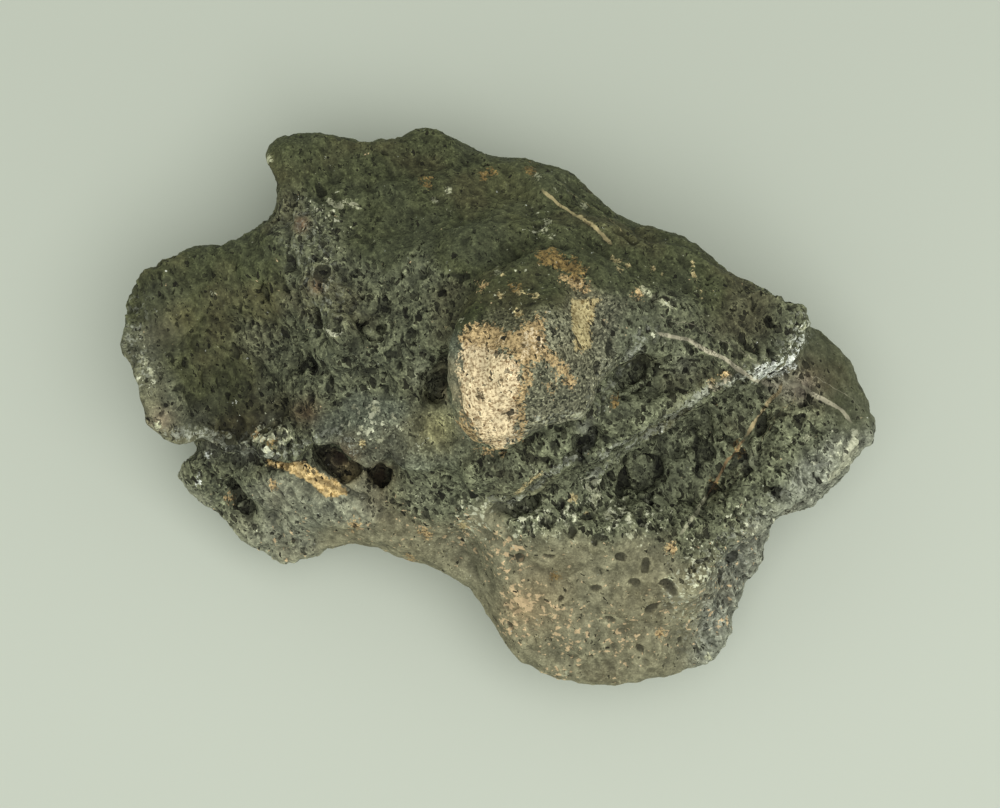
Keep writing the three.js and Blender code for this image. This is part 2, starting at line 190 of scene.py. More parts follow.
# Each skin: its dark and light colour, how much of it gas bubbles, holes of one to three millimetres
# and fine pores take up, the height of its crags, and how sharply its grains stand out
SKINS = {
    "scoria": ("#2f3226", "#72755a", 0.75, 0.95, 1.0, 0.65, 0.65),
    "foam": ("#313323", "#7f8367", 0.7, 0.95, 1.0, 0.5, 0.6),
    "olive": ("#2e321c", "#565a3d", 0.3, 0.3, 0.55, 0.5, 0.65),
    "bowl": ("#30321c", "#5c5f41", 0.5, 0.4, 0.65, 0.6, 0.45),
    "slate": ("#40453a", "#797e6a", 0.1, 0.15, 0.4, 0.5, 1.0),
    "knob": ("#28291b", "#99977b", 0.0, 0.12, 0.6, 0.2, 1.4),
    "cap": ("#41442d", "#6b6d55", 0.1, 0.1, 0.3, 0.35, 0.35),
    "rim": ("#3d4032", "#75765e", 0.35, 0.4, 0.7, 0.35, 0.6),
    "worn": ("#66634c", "#989477", 0.1, 0.12, 0.35, 0.35, 0.4),
    "flank": ("#474a3e", "#9ea08e", 0.4, 0.5, 0.7, 0.7, 0.6),
    "lobe": ("#585a4d", "#a3a48a", 0.4, 0.45, 0.6, 0.7, 0.5),
}

# Stains: closed outlines, lines with a half width, and spots with a radius. The pits among them are
# painted shade, and the crystals are partly painted highlight and glints
STAIN_PATCHES = {
    "cream": [
        [(-8.5, 17), (-6.5, 19), (-3, 17.5), (0.5, 13.5), (3, 12), (5.5, 11), (5, 8), (6, 4), (4.5, 1.5),
         (5.5, -2), (4, -4), (5, -7.5), (0.5, -10), (-3.5, -8.5), (-7, -3.5), (-9.8, 1.5), (-9.8, 5),
         (-9.2, 9.5), (-8.2, 13)],
    ],
    "ochre": [
        [(-9, 17), (-8, 19.5), (-5, 20.5), (-1.5, 20.5), (1.5, 19), (4, 18.5), (6, 20.5), (9, 21.5),
         (11, 20.5), (10.5, 17), (12, 14), (9.5, 11.5), (6.5, 11.5), (4, 13.5), (0.5, 15), (-3, 16),
         (-6, 15.5)],
    ],
    "clay": [
        [(-58, -12.5), (-54, -13), (-48, -13), (-44, -16.5), (-40.5, -18), (-37.5, -20.5), (-37.5, -22),
         (-42, -23), (-45.5, -21.5), (-47, -19.5), (-50, -17.5), (-54, -15.5), (-58, -15)],
    ],
    "straw": [
        [(18, 27.5), (21, 27), (26.5, 28), (24.5, 25), (24, 22), (23, 20.5), (23.5, 17.5), (23, 14),
         (19, 14), (18.5, 18), (18, 23)],
    ],
    "rust": [
        [(10, 39), (14, 39), (16, 37.5), (19, 36.5), (21, 34.5), (22, 33), (19, 32.5), (17, 34),
         (13.5, 35), (11, 36.5)],
    ],
}
STAIN_LINES = {
    "ochre": [
        ([(7, 11), (7, 6), (5.5, 2), (6, -3), (5.5, -8)], 0.6),
        ([(-9, -3), (-4, -10), (1, -11)], 0.6),
        ([(11, 14), (14, 12), (16, 9), (18.5, 6.5)], 0.9),
        ([(16.5, 31.5), (19, 31), (21.5, 30)], 0.9),
    ],
    "straw": [
        ([(4.5, 28.7), (9.5, 27.4)], 0.6),
        ([(11, -16), (6.5, -19), (4.5, -21.5)], 0.5),
        ([(48.3, 36), (49, 32), (51.5, 27)], 0.3),
        ([(28.5, 38), (30.5, 34)], 0.3),
    ],
    "pale": [
        ([(-42, 52), (-40.5, 50.5), (-38, 51.5), (-35, 50)], 0.7),
        ([(43, 25.5), (36, 29.5)], 0.7),
        ([(24, -17.5), (24.5, -25.5)], 0.6),
        ([(9.5, -3), (15.5, -2.6), (21, -1.5), (23.8, 0.8), (24.5, 2.5)], 0.3),
    ],
    "lime": [
        ([(89.5, -6.5), (88.5, -10), (86.5, -13), (83, -16.5)], 1.4),
        ([(-44, 22), (-43, 19.5), (-40.5, 18), (-38.5, 19)], 0.6),
    ],
    "dust": [
        ([(66, 8.8), (59, 7), (52, 4.5), (47, 0), (37, -6), (27, -12.5), (23.5, -17.5)], 0.9),
        ([(24, -6.5), (23, -9.5), (17.5, -13.5), (12, -17), (8, -20.5), (4, -23), (-3, -23)], 0.5),
        ([(-81, -6.5), (-76.5, -7), (-71, -7.3), (-67.5, -10.3), (-61.5, -11.6), (-54, -11.6)], 0.6),
        ([(-54, -11.6), (-48, -9), (-43.7, -6.3), (-40, -5.8), (-37.5, -7.6), (-35.7, -10.5)], 0.3),
        ([(27, 5), (30, 9), (33, 13), (36, 17)], 0.3),
    ],
    # Pale crystals along the tip of the main ledge, with painted highlight on them
    "crystal": [
        ([(75.8, 18.5), (74.2, 14.5), (72.5, 11)], 0.4),
        ([(72.5, 11.5), (70.5, 9), (66.5, 8.8)], 1.5),
    ],
}
STAIN_SPOTS = {
    "straw": [
        (0.5, 28.3, 1), (5, 23.5, 1.3), (1.5, 33.3, 0.6), (-8.5, -29.5, 1.1), (19, -22.5, 1.3),
        (14.5, 20, 0.7), (-33.5, -9, 0.9), (22, -26.5, 0.7), (41.5, -35, 0.7), (30.5, 36.5, 0.9),
        (32.5, 35, 0.7), (38.5, 34.5, 0.9), (40.5, 33, 0.7), (-12, 20, 0.7),
    ],
    "pale cream": [
        (8, 19, 1), (9.5, 16.5, 0.9), (7, 13.5, 0.9), (10, 14, 0.7), (1, 17, 0.6), (6.5, 16, 0.7),
    ],
    # Painted shade: small pits in the knob, drawn as dark brown spots
    "shade in pits": [
        (-4.5, 3, 0.7), (-5.5, 4.5, 0.6), (-3.5, 2, 0.6), (-4, 4.5, 0.4), (2, -1.5, 0.7), (3, -2.5, 0.5),
        (1, -1, 0.4), (0.5, 7, 0.6), (6, 15.5, 0.7), (8.5, 14, 0.5), (-5.5, -3, 0.4), (-2, -6, 0.4),
    ],
    "pale": [
        (-57, 62, 1), (-42, 48, 0.8), (-43, 37, 0.8), (-16, 52, 0.8), (-12.5, 54.5, 1), (-12, 50, 0.8),
        (14.5, 54.5, 0.8), (21.5, 50.5, 0.8), (10, 57.5, 0.8), (11, 44.5, 1), (12.5, 46.5, 0.8),
        (13.5, 42.5, 0.8), (76, 19.5, 1.2), (73.5, 15.5, 1.2), (-71.5, 28.5, 0.5), (-70, 29, 0.5),
        (-30.5, -0.5, 1.2), (-34.5, -5, 1), (-29.5, -8, 1), (-36, 0, 0.8), (-26, -2, 0.8), (-24, -5, 0.7),
        (-9.5, -24, 1), (-6.5, -30.5, 1), (-4, -26, 0.8), (2, -24.5, 0.8), (1, -23, 1), (9, -15.5, 0.8),
        (24, -20, 1), (25, -22, 1), (23, -19, 0.8), (27.5, -26, 0.8), (12.5, -27.5, 1), (12, -30, 0.8),
        (29, -28, 0.8), (31, -30, 0.6), (33, -32, 0.8), (35.5, -33.5, 0.6), (8, -31, 1), (5, -30.5, 0.8),
        (14.5, -32, 1), (17.5, -29.5, 0.8), (43, -42.5, 1), (17, -66.5, 0.8), (52, -61.5, 0.8),
        (0, 34, 0.8), (1, 29, 0.5), (16, 20.5, 0.8), (-11.5, 20, 0.9), (-9, 22, 0.6),
        (77.5, -7.5, 0.8), (60.5, -9.5, 0.6), (-88, 11.5, 1), (-86.5, 9, 1), (-90, 13, 1),
        (-59, -5.5, 0.8), (-56.5, -7, 0.8), (-60, -8.5, 0.8), (-52.8, -7.5, 1.2), (-54.5, -9, 1),
        (-85, -4.5, 1), (-55, -29, 1), (-51, -33.5, 1), (-61, -30, 1),
    ],
    "ochre": [
        (54, 5.5, 1), (57, 7.5, 0.8), (-67, -23, 0.8), (-56, -19, 0.7), (-36, -29, 1),
        (-22, -38.5, 1), (-18, -31, 1), (-4, 30.5, 0.7), (43, -35, 1), (40.5, -56.5, 0.8), (12.5, 13, 1),
        (13.5, 5.5, 0.8), (35.5, 28.5, 0.8), (10, 22, 0.8), (-60, -7, 0.6),
    ],
    "rust": [
        (-18, 56.5, 0.7), (4, 30, 0.8), (60, -9.5, 0.7), (60.5, -11.5, 0.7), (54, -19, 0.6),
        (8, 59.5, 0.7), (-3.5, 58, 0.7), (-1.5, 59, 0.7), (-56, -8.5, 0.7),
        (14.5, -42.5, 0.8), (29, 1.5, 0.8),
    ],
    # Painted glints: tiny bright bluish specks on the left lobe
    "crystal": [(-72.5, -11.5, 0), (-75, -18, 0), (-73, -25.5, 0)],
}
# Each stain: its dark and light colour, how well it covers, and how ragged its borders are
STAIN_COLOURS = {
    "cream": ("#70502a", "#f4e0b6", 1.0, 0.9),
    "ochre": ("#4f3c1e", "#d2b684", 0.9, 1.0),
    "pale cream": ("#a3885c", "#eedcb8", 0.95, 0.8),
    "clay": ("#937846", "#dcc18a", 1.0, 0.35),
    "straw": ("#75633c", "#cfc08f", 1.0, 0.45),
    "rust": ("#3a301a", "#9f8450", 0.85, 1.0),
    "pale": ("#777a5e", "#b9b99b", 0.9, 0.5),
    "dust": ("#54574a", "#96988a", 0.7, 0.8),
    "lime": ("#8c8d76", "#b3b39b", 0.95, 0.35),
    # The crystals' colours, for pale crystals, painted highlight and painted glints
    "crystal": ("#858b80", "#e8eae0", 0.95, 1.1),
    # Painted shade in the small pits
    "shade in pits": ("#1c160a", "#4d3d20", 0.95, 0.6),
}
# Further than this many mm from a stain or a vein, nothing of it shows
STAIN_REACH = 4.0

# Veins of pale mineral, each a thin line: points, half width and colour
VEINS = {
    "long vein": (
        [(40.5, 18.5), (47.5, 17), (52, 14.5), (56.6, 12.4), (60, 10), (63.6, 7.2), (67.5, 5.6),
         (71.3, 5), (75, 5.6), (80.3, 2.4), (85.4, -0.4), (87.5, -3)],
        0.5, "#aca68e",
    ),
    "branch": (
        [(70.8, 5.2), (70.4, 4), (68, 2), (66.2, -0.4), (64.3, -3.6), (62.5, -6.5)], 0.45, "#ad9d76",
    ),
    "rusty thread": (
        [(61, -8.5), (59.5, -11), (57.6, -12.5), (54.7, -18.3), (52, -22.5)], 0.32, "#80694a",
    ),
    "pale thread": ([(52, -22.5), (49, -27.5), (45.5, -31.5)], 0.45, "#9c9b80"),
    "vein on the back": (
        [(12, 53.5), (15.5, 50.5), (19, 48), (24, 45), (28, 41.5)], 0.45, "#b0a278",
    ),
}

# Tints: soft patches, darker or paler, as X, Y, radius, colour and strength. Some are painted shade and
# one is painted light, as marked
TINTS = [
    (3, 54, 7, "#5b5c3c", 0.9),
    (-79.5, 22.4, 3.5, "#75714a", 0.85),
    (-84, 19, 5, "#4a4434", 0.6),
    (-47.5, -1, 3.5, "#4d3a26", 0.85),
    # Painted shade at the bottom of the bowl
    (-64, -2, 10, "#2b2c1c", 0.6),
    (-39, -12.5, 5, "#38271a", 0.95),
    (-29.5, -16.5, 3, "#3f2c1b", 0.9),
    (-15, -5, 6, "#a09d72", 1.0),
    (-11.5, 10, 2.6, "#948c70", 0.9),
    (10, -48, 8, "#8f8060", 0.5),
    (6, -50, 4, "#a08c68", 0.6),
    (-9, 4, 4, "#6b6d5c", 0.5),
    (2, 25, 8, "#3c3f22", 0.4),
    (20, 2, 7, "#3c3d30", 0.4),
    (-6, 24, 6, "#2c3118", 0.7),
    (4, 26, 5, "#2f341c", 0.6),
    (78, 7, 5, "#6a5f4e", 0.6),
    (-19.5, -23, 5, "#80826a", 0.5),
    (14, -26, 6, "#777a62", 0.4),
    (-64, -29, 4, "#8c8c72", 0.8),
    (-49.5, 46, 2, "#80654f", 0.8),
    (-45.5, 30.5, 1.8, "#806852", 0.8),
    (40, -18, 6, "#26271a", 0.5),
    (38, 7, 5, "#26271a", 0.5),
    (3, -15.6, 4, "#33342a", 0.35),
    (65, -26, 5, "#5a5c4c", 0.4),
    (61.8, -36, 5, "#5e5f50", 0.4),
    (68, 17, 6, "#36382a", 0.45),
    (-86, 30, 5, "#2a2c1c", 0.5),
    (-11.5, 4, 2.6, "#9a9274", 0.9),
    (-8, -4, 2, "#8a8470", 0.7),
    (83, 12, 6, "#43452f", 0.5),
    # Painted shade at the bottom of the bowl
    (-60, -3, 9, "#232418", 0.5),
    (28, 18, 7, "#45463a", 0.5),
    (-84, -3, 3, "#8a7c66", 0.6),
    (-55, -22, 3, "#4c4230", 0.3),
    (-30, -24, 5, "#54462e", 0.4),
    (64, 23, 8, "#2c2e1e", 0.55),
    (87, -12, 3.5, "#8e8f78", 0.6),
    (71, 5.5, 3, "#b8b49b", 0.9),
    (76, 5, 3, "#94897a", 0.6),
    # Painted shadow under the nub
    (-36.3, 15.6, 3, "#191a11", 0.9),
    # Painted shade in the hole right of the nub
    (-32.5, 22, 2.5, "#1e1f15", 0.8),
    (-18.8, 8.2, 3, "#85876f", 0.9),
    # Painted shade in the hollow under the apron
    (21, -13, 2.8, "#14150d", 0.9),
    (-63.5, -11.7, 3, "#80826f", 0.8),
    (-10.5, -8.5, 2.2, "#2c2d20", 0.8),
    (-75, -3.5, 3.5, "#34352a", 0.6),
    (40, -33.5, 3.5, "#3a3b2e", 0.6),
    (31, -1, 2.8, "#22231a", 0.6),
    (50, -17, 3.5, "#26271c", 0.55),
    # Painted light inside the cave
    (-37, -16.6, 2.2, "#a3946a", 0.9),
    (-56.5, -4, 2.5, "#6f7160", 0.7),
    (39.5, 17.5, 2.5, "#2c2d22", 0.7),
    (-19, 0.3, 2.5, "#26271b", 0.8),
    (0.5, -24, 2.5, "#8f9074", 0.8),
    (46.5, 11, 2.5, "#7d7e6b", 0.7),
    (-71.5, -10, 2.5, "#7c7e6c", 0.7),
    # Painted shade under the front edge of the knob
    (-2, -13.5, 3, "#25261a", 0.7),
    (63, -13.5, 2.5, "#7a7c68", 0.6),
    (22, -4.5, 2, "#84867a", 0.6),
]

# Flecks a millimetre across, in clusters: X, Y, radius, share of the surface
FLECKS = {
    "clay flecks": [
        (3, -36, 8, 0.62), (6, -48.5, 6, 0.8), (4, -54, 6, 0.65), (11, -51, 8, 0.5), (18, -56, 12, 0.5),
        (31, -57, 12, 0.48), (43, -55, 10, 0.42), (14, -68, 9, 0.45), (30, -66, 10, 0.3),
        (22, -44, 12, 0.33), (-8, -32, 8, 0.5), (-22, -30, 8, 0.35), (-34, -30, 8, 0.3),
        (-54, -34, 8, 0.35), (-48, -28, 6, 0.3),
        (16, 10, 8, 0.25), (60, -36, 10, 0.3), (54, -50, 9, 0.4), (26, 22, 6, 0.3),
    ],
    "pale flecks": [
        (-32, -3, 8, 0.6), (-57, -7, 5, 0.75), (30, -27, 7, 0.6), (-7, -27, 7, 0.65), (24, -19, 4, 0.7),
        (8, -28, 7, 0.62), (18, -27, 6, 0.55), (38, -29, 6, 0.5), (-87, 8, 5, 0.5), (11, 45, 5, 0.45),
        (70, 12, 6, 0.35), (44, 24, 12, 0.15), (-43, 48, 7, 0.45), (80, -10, 8, 0.4), (62, -28, 9, 0.5),
        (51, -40, 8, 0.62), (4, 29, 8, 0.25), (46, -50, 6, 0.45), (40, 18, 5, 0.3), (-20, -10, 6, 0.3),
    ],
}

FLECK_COLOURS = {"clay flecks": "#cdb48c", "pale flecks": "#bcbda2"}

# Bands of pale dust and painted highlight along the crests: points, half width, strength
CREST_DUST_AND_HIGHLIGHT_COLOUR = "#bcbfae"
CREST_DUST_AND_HIGHLIGHT_BANDS = [
    ([(76, 21), (73.5, 15), (70, 10), (63, 8)], 2.4, 1.0),
    ([(84, -12), (74, -19), (66, -26), (58, -33), (50, -41), (44, -48)], 2.5, 0.5),
    ([(60, -36), (54, -46), (50, -56)], 5.0, 0.5),
    ([(52, 5), (47, 0), (37, -6), (27, -12.5)], 1.6, 0.5),
    ([(38, 20), (34, 14), (27, 8), (24, 0)], 2.5, 0.4),
    ([(-83, -7), (-73, -6.5), (-61, -9), (-50, -10)], 2.0, 0.5),
    ([(-50, 46), (-46, 36), (-42, 26)], 5.0, 0.35),
    ([(2, -9), (10, -3), (22, -1)], 1.2, 0.6),
    ([(-90, 26), (-91, 16), (-88, 6)], 2.5, 0.5),
]

# Holes of larger bubbles: X, Y, radius. Each is drawn out its own way, and its edge wavers.
HOLE_SEED = 5
HOLE_STRETCH = 1.6
HOLE_WAVER = 0.45
HOLES = [
    (22.5, -9.5, 2.2), (27.5, 7, 1.8), (59.5, -13, 1.6), (33, -17.5, 1.8),
    (12.5, -37, 1.2), (37, -39, 1.2), (24, -33.5, 1), (25.5, -32.5, 1), (24.5, -45, 1),
    (33.5, -43.5, 0.9), (43, -44.5, 1.5), (39, -50, 1.2), (48, -23.5, 1.2), (68.5, -20, 2),
    (70.5, -15, 1.2), (79, -5.5, 1.2),
    (50, -15.5, 1.5), (33.5, -14, 1.2), (40.5, -14.5, 1.5), (-44, 33, 1.5), (-29.5, 26, 1.8),
    (-30.5, 23, 1.4), (-10, 33, 1.5), (-65.5, 19.5, 1), (-78, 11.5, 1), (-68, 14.5, 1), (-80, 5, 1),
    (-53, 29.5, 1.5), (-49, 9.5, 1.8), (-47, 11, 1.5), (-45, 22, 1.5), (10.5, 46, 1), (28, 15, 1.5),
    (25, 10, 1.2), (31, 12, 1.2), (-59, 30.5, 1.5), (-57.5, 28, 1.8), (-40.5, 21, 1.8),
    (-32.5, 21, 1.4), (-44.5, 55.5, 1.2), (-65.5, 35, 1), (-35, 50.5, 0.8), (-22, 18.5, 1.2),
    (-41.5, 6, 1.5), (-38, 13.5, 2), (-52, 36, 1.2), (-24, 33, 1.2), (-33, 9, 1.3), (-27, 13, 1.2),
    (-18, 24, 1), (-44, 16, 1.3),
    (-86, -2, 0.8), (-84, -1.5, 0.8), (-83.5, 0.5, 0.8), (19, -30.5, 1), (30.5, -37, 1), (5.5, -38, 1),
    (15.5, -48, 0.9), (28, -53, 1), (45.5, -58, 1), (35.5, -60.5, 0.9), (9.5, -58, 0.9),
    (23, -62, 0.9), (3, -54.5, 0.9), (50.5, -38, 1.2), (55.5, -43, 1.2),
    (48, -52, 1), (59, -38, 1), (52, -48, 1), (35.5, 5.5, 2), (39, 9, 1.8), (32, 3, 1.5),
    (42.5, 12, 1.5), (48, 14.5, 1.2), (19, -9.5, 1.5), (10.5, -13, 1.2), (28, -8, 1.5),
    (35.5, -8, 1.5), (45.5, -3, 1.5), (55.5, 0.5, 1.2), (50.5, -10.5, 2), (58, -8, 1.8),
    (65.5, -5.5, 1.5), (62, -15.5, 1.8),
    (53, -20.5, 1.8), (45.5, -23, 1.5), (38, -23, 1.8), (30.5, -20.5, 1.5), (23, -27, 1.2),
    (15.5, -24.5, 1.2), (35.5, -28, 1.2), (70.5, -2, 1.2), (75.5, -3, 1.2), (73, -9.5, 1.2),
]

# Gas bubbles cut open by the surface: mean spacing in mm, and radius as a share of it
BUBBLES = {"fine": (2.6, 0.46), "middle": (4.4, 0.37), "coarse": (8.5, 0.25)}
# Their outlines wobble by up to half the first number in mm, over the second
BUBBLE_WOBBLE = (5.0, 2.5)
# Crags: width and height in mm. The middle ones are sharp crests where the noise crosses its mean,
# and end where it is this far from it.
CRAGS = {"coarse": (12.0, 9.0), "middle": (6.0, 8.0), "fine": (2.3, 2.4)}
CREST_WIDTH = 0.1
# Bubbles, holes and crags are drawn out along the old flow of the lava
FLOW = (0.34, -0.94, 0.0)
FLOW_STRETCH = 1.5
# Holes too fine for the mesh: mean spacing in mm, largest radius as a share of it, and their kind
PORES = [(1.1, 0.4, "pores"), (1.9, 0.4, "pores"), (2.9, 0.4, "holes")]
# The painted shade inside the holes too fine for the mesh
PORE_SHADE_COLOUR = "#1b1a0f"
# The size in mm of what each pattern of the material repeats. Real grains and specks of 0.2 mm would
# be too fine to see, so they are drawn two to three times as coarse.
PATTERNS = {
    "clouds": 4.0,
    "grains": 0.6,
    "drift": 17.0,
    "specks": 0.5,
    "flecks": 1.5,
    "ragged borders": 2.2,
    "speckle of the stains": 0.7,
    "breaks in the veins": 1.5,
    "wobble of the pores": 1.8,
}
# Two broad drifts of tone over the whole stone
BROWN_DRIFT = "#554c34"
GREY_DRIFT = "#4f5445"
# The dark and the light tone of a tint, as shares of its brightness
TINT_TONES = (0.8, 1.2)
# Cream and straw crusts fill the bubbles, from this far outside their outlines
CRUST_REACH = 1.2
# Crags and bubbles begin above the flat foot, and are full grown this much higher
FOOT_EDGE = 0.5
FOOT_FADE = 3.0
# The floor: its reach in metres, its paint in front and behind, darker behind as painted shade of the
# light falling off, and from where to where it changes
FLOOR_REACH = 3.0
FLOOR_PAINT = ("#cfd5c8", "#c7cdc0")
FLOOR_SHADE_FADE = (-0.08, 0.1)
# The room's even light, and the window: place, aim and size in metres, and power in watts
ROOM_LIGHT = ("#eef2ea", 0.6)
WINDOW = ((0.2, -0.16, 1.3), (0, 0, 0.03), 1.3, 10.5)
# How proud of its neighbourhood a place stands, by how many times the neighbourhood is evened out
PROUD = {"edge": 6, "rise": 60}
# Painted shade in bubbles, holes and hollows, and painted highlight on proud edges: from and to how many
# millimetres of depth or height, and the brightness at either end
PAINTED_SHADES = {
    "bubble": (0.0, 1.8, 1.0, 0.62),
    "hole": (0.0, 1.2, 1.0, 0.55),
    "rise": (-1.2, 0.8, 0.7, 1.12),
    "edge": (-0.12, 0.14, 0.65, 1.45),
}


def linear(hex_colour):
    """An sRGB hex colour as linear red, green, blue and alpha."""
    parts = [int(hex_colour[i : i + 2], 16) / 255 for i in (1, 3, 5)]
    return [p / 12.92 if p <= 0.04045 else ((p + 0.055) / 1.055) ** 2.4 for p in parts] + [1.0]


def add(tree, kind, inputs=(), out=0, **settings):
    """Add one node with its settings and links, and give back one of its outputs."""
    made = tree.nodes.new(kind)
    for name, value in settings.items():
        setattr(made, name, value)
    pairs = inputs.items() if isinstance(inputs, dict) else enumerate(inputs)
    for key, value in pairs:
        if isinstance(value, bpy.types.NodeSocket):
            tree.links.new(value, made.inputs[key])
        else:
            made.inputs[key].default_value = value
    return made.outputs[out]


# The body


def baked(piece):
    """The piece with its modifiers worked into its mesh."""
    shown = piece.evaluated_get(bpy.context.evaluated_depsgraph_get())
    mesh = bpy.data.meshes.new_from_object(shown)
    piece.modifiers.clear()
    piece.data = mesh
    return piece


def rounded_body():
    """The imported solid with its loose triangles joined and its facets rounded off, finely meshed."""
    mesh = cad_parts["stone"].data.copy()
    joined = bmesh.new()
    joined.from_mesh(mesh)
    bmesh.ops.remove_doubles(joined, verts=joined.verts, dist=1e-6)
    joined.to_mesh(mesh)
    joined.free()
    body = bpy.data.objects.new("stone_body", mesh)
    bpy.context.scene.collection.objects.link(body)
    remesh = body.modifiers.new("even mesh", "REMESH")
    remesh.mode = "VOXEL"
    remesh.voxel_size = BODY_VOXEL * MM
    smooth = body.modifiers.new("facets off", "SMOOTH")
    smooth.iterations = FACET_SMOOTHING
    finer = body.modifiers.new("finer", "SUBSURF")
    finer.levels = finer.render_levels = 2
    return baked(body)


def read(source, name, width):
    """A mesh's numbers of one kind, one row for each of its elements."""
    flat = np.zeros(len(source) * width, np.float32)
    source.foreach_get(name, flat)
    return flat.reshape(-1, width)


def store(mesh, name, values):
    """Keep a number, a place or a colour for each point of the mesh."""
    values = np.asarray(values, np.float32)
    kind, field = KEPT_AS[values.size // len(values)]
    mesh.attributes.new(name, kind, "POINT").data.foreach_set(field, values.ravel())


def dropped(surface, plan_point):
    """The place on the stone that the eye sees at a plan point, or nearest its line of sight, in mm."""
    eye = Vector((0, 0, EYE_HEIGHT))
    sight = Vector((plan_point[0], plan_point[1], PLAN_HEIGHT)) - eye
    hit = surface.ray_cast(eye * MM, sight.normalized())[0]
    if not hit:
        fall = EYE_HEIGHT - PLAN_HEIGHT
        passed = [
            surface.find_nearest((eye + sight * (EYE_HEIGHT - height) / fall) * MM)
            for height in SIGHT_HEIGHTS
        ]
        hit = min(passed, key=lambda found: found[3])[0]
    return np.array(hit) / MM


def in_plan(places):
    """Where the eye sees each place on the level plane, and how surely it sees it."""
    plan = places[:, :2] * ((EYE_HEIGHT - PLAN_HEIGHT) / (EYE_HEIGHT - places[:, 2:]))
    column, row = (np.floor(plan / PLAN_CELL).astype(int) + PLAN_CELLS // 2).T
    tops = np.zeros((PLAN_CELLS, PLAN_CELLS), np.float32)
    np.maximum.at(tops, (column, row), places[:, 2])
    under = tops[column, row] - places[:, 2]
    return plan, np.clip((HIDDEN_UNDER - under) / HIDDEN_FADE, 0, 1)


def line_distance(places, line, reach):
    """Distance from each place to a line of points, where it is nearer than the reach."""
    line = np.asarray(line, np.float32)
    far = np.full(len(places), reach, np.float32)
    near = np.all((places > line.min(0) - reach) & (places < line.max(0) + reach), axis=1)
    some = places[near]
    nearest = far[near]
    for start, end in zip(line[:-1], line[1:]):
        along = end - start
        share = np.clip((some - start) @ along / (along @ along), 0, 1)
        gap = np.linalg.norm(some - start - share[:, None] * along, axis=1)
        nearest = np.minimum(nearest, gap)
    far[near] = nearest
    return far


def waver(places, width):
    """A smooth wavering number for each place, from -1 to 1, that changes over about one width."""
    x, y, z = (places * (2.2 / width)).T
    return (np.sin(x + 1.3 * np.sin(y)) + np.sin(1.1 * y - z + 2) + np.sin(1.4 * z + 0.7 * x + 4)) / 3


def pressed_strokes(places, surface):
    """How far the ridges and grooves, drawn on the stone, lift or sink each place."""
    lift = np.zeros(len(places), np.float32)
    for points, width, height in STROKES.values():
        line = []
        for start, end in zip(points[:-1], points[1:]):
            for share in (0, 0.25, 0.5, 0.75):
                line.append(dropped(surface, [a + share * (b - a) for a, b in zip(start, end)]))
        gap = line_distance(places, line, STROKE_REACH * width) / width
        ragged = 0.5 * gap * waver(places, 6) + 0.2 * waver(places, 2.5)
        gap = np.maximum(gap + ragged * (1 - gap / STROKE_REACH), 0)
        if height > 0:
            lift += height * np.clip(1 - gap / RIDGE_REACH, 0, 1) ** RIDGE_SHARPNESS
        else:
            lift += height * (np.exp(-gap * gap) - np.exp(-STROKE_REACH**2))
    return lift


def opened_holes(places, outward, surface):
    """How deep the holes of single large bubbles sink each place."""
    sunk = np.zeros(len(places), np.float32)
    turns = np.random.default_rng(HOLE_SEED).uniform(0, np.pi, len(HOLES))
    for (x, y, radius), turn in zip(HOLES, turns):
        away = places - dropped(surface, (x, y))
        near = np.flatnonzero((np.abs(away) < 2 * radius).all(1))
        some = away[near] * (1 + HOLE_WAVER * waver(places[near], 1.6 * radius))[:, None]
        longways = np.array([np.cos(turn), np.sin(turn), 0])
        some -= (1 - 1 / HOLE_STRETCH) * np.outer(some @ longways, longways)
        along = (some * outward[near]).sum(1)
        room = radius * radius - (some * some).sum(1)
        deep = np.where(room > 0, along + np.sqrt(np.maximum(along * along + room, 0)), 0)
        sunk[near] = np.maximum(sunk[near], deep)
    return sunk


def press(body):
    """Press the ridges, the grooves and the holes into the body."""
    mesh = body.data
    places = read(mesh.vertices, "co", 3) / MM
    surface = BVHTree.FromObject(body, bpy.context.evaluated_depsgraph_get())
    outward = read(mesh.vertex_normals, "vector", 3)
    sunk = opened_holes(places, outward, surface)
    lift = pressed_strokes(places, surface) - sunk
    places += outward * lift[:, None]
    places[:, 2] = np.maximum(places[:, 2], 0)
    mesh.vertices.foreach_set("co", (places * MM).ravel())
    mesh.update()
    store(mesh, "hole", sunk)


# Skins and stains, as numbers on the mesh


def skin_shares(places, surface):
    """How much each place belongs to each skin, by the nearest spots."""
    weights = {}
    for skin, spots in SKIN_SPOTS.items():
        weights[skin] = np.zeros(len(places), np.float32)
        for spot in spots:
            reach = ((places - dropped(surface, spot)) ** 2).sum(1)
            weights[skin] += 1 / (reach + SPOT_SOFTNESS**2) ** 3
    foot, top = LOW_SKIRT
    low = LOW_SHARE * np.clip((top - places[:, 2]) / (top - foot), 0, 1)
    total = sum(weights.values())
    shares = {skin: weight / total * (1 - low) for skin, weight in weights.items()}
    shares["lobe"] += low
    return shares


def patch_depth(plan, outline, reach):
    """How deep each place lies inside an outline, negative outside it."""
    outline = np.asarray(outline, np.float32)
    depth = -line_distance(plan, np.vstack([outline, outline[:1]]), reach)
    inside = np.zeros(len(plan), bool)
    for (x0, y0), (x1, y1) in zip(outline, np.roll(outline, -1, 0)):
        if y0 != y1:
            crosses = (y0 > plan[:, 1]) != (y1 > plan[:, 1])
            inside ^= crosses & (plan[:, 0] < x0 + (plan[:, 1] - y0) * (x1 - x0) / (y1 - y0))
    return np.where(inside, -depth, depth)


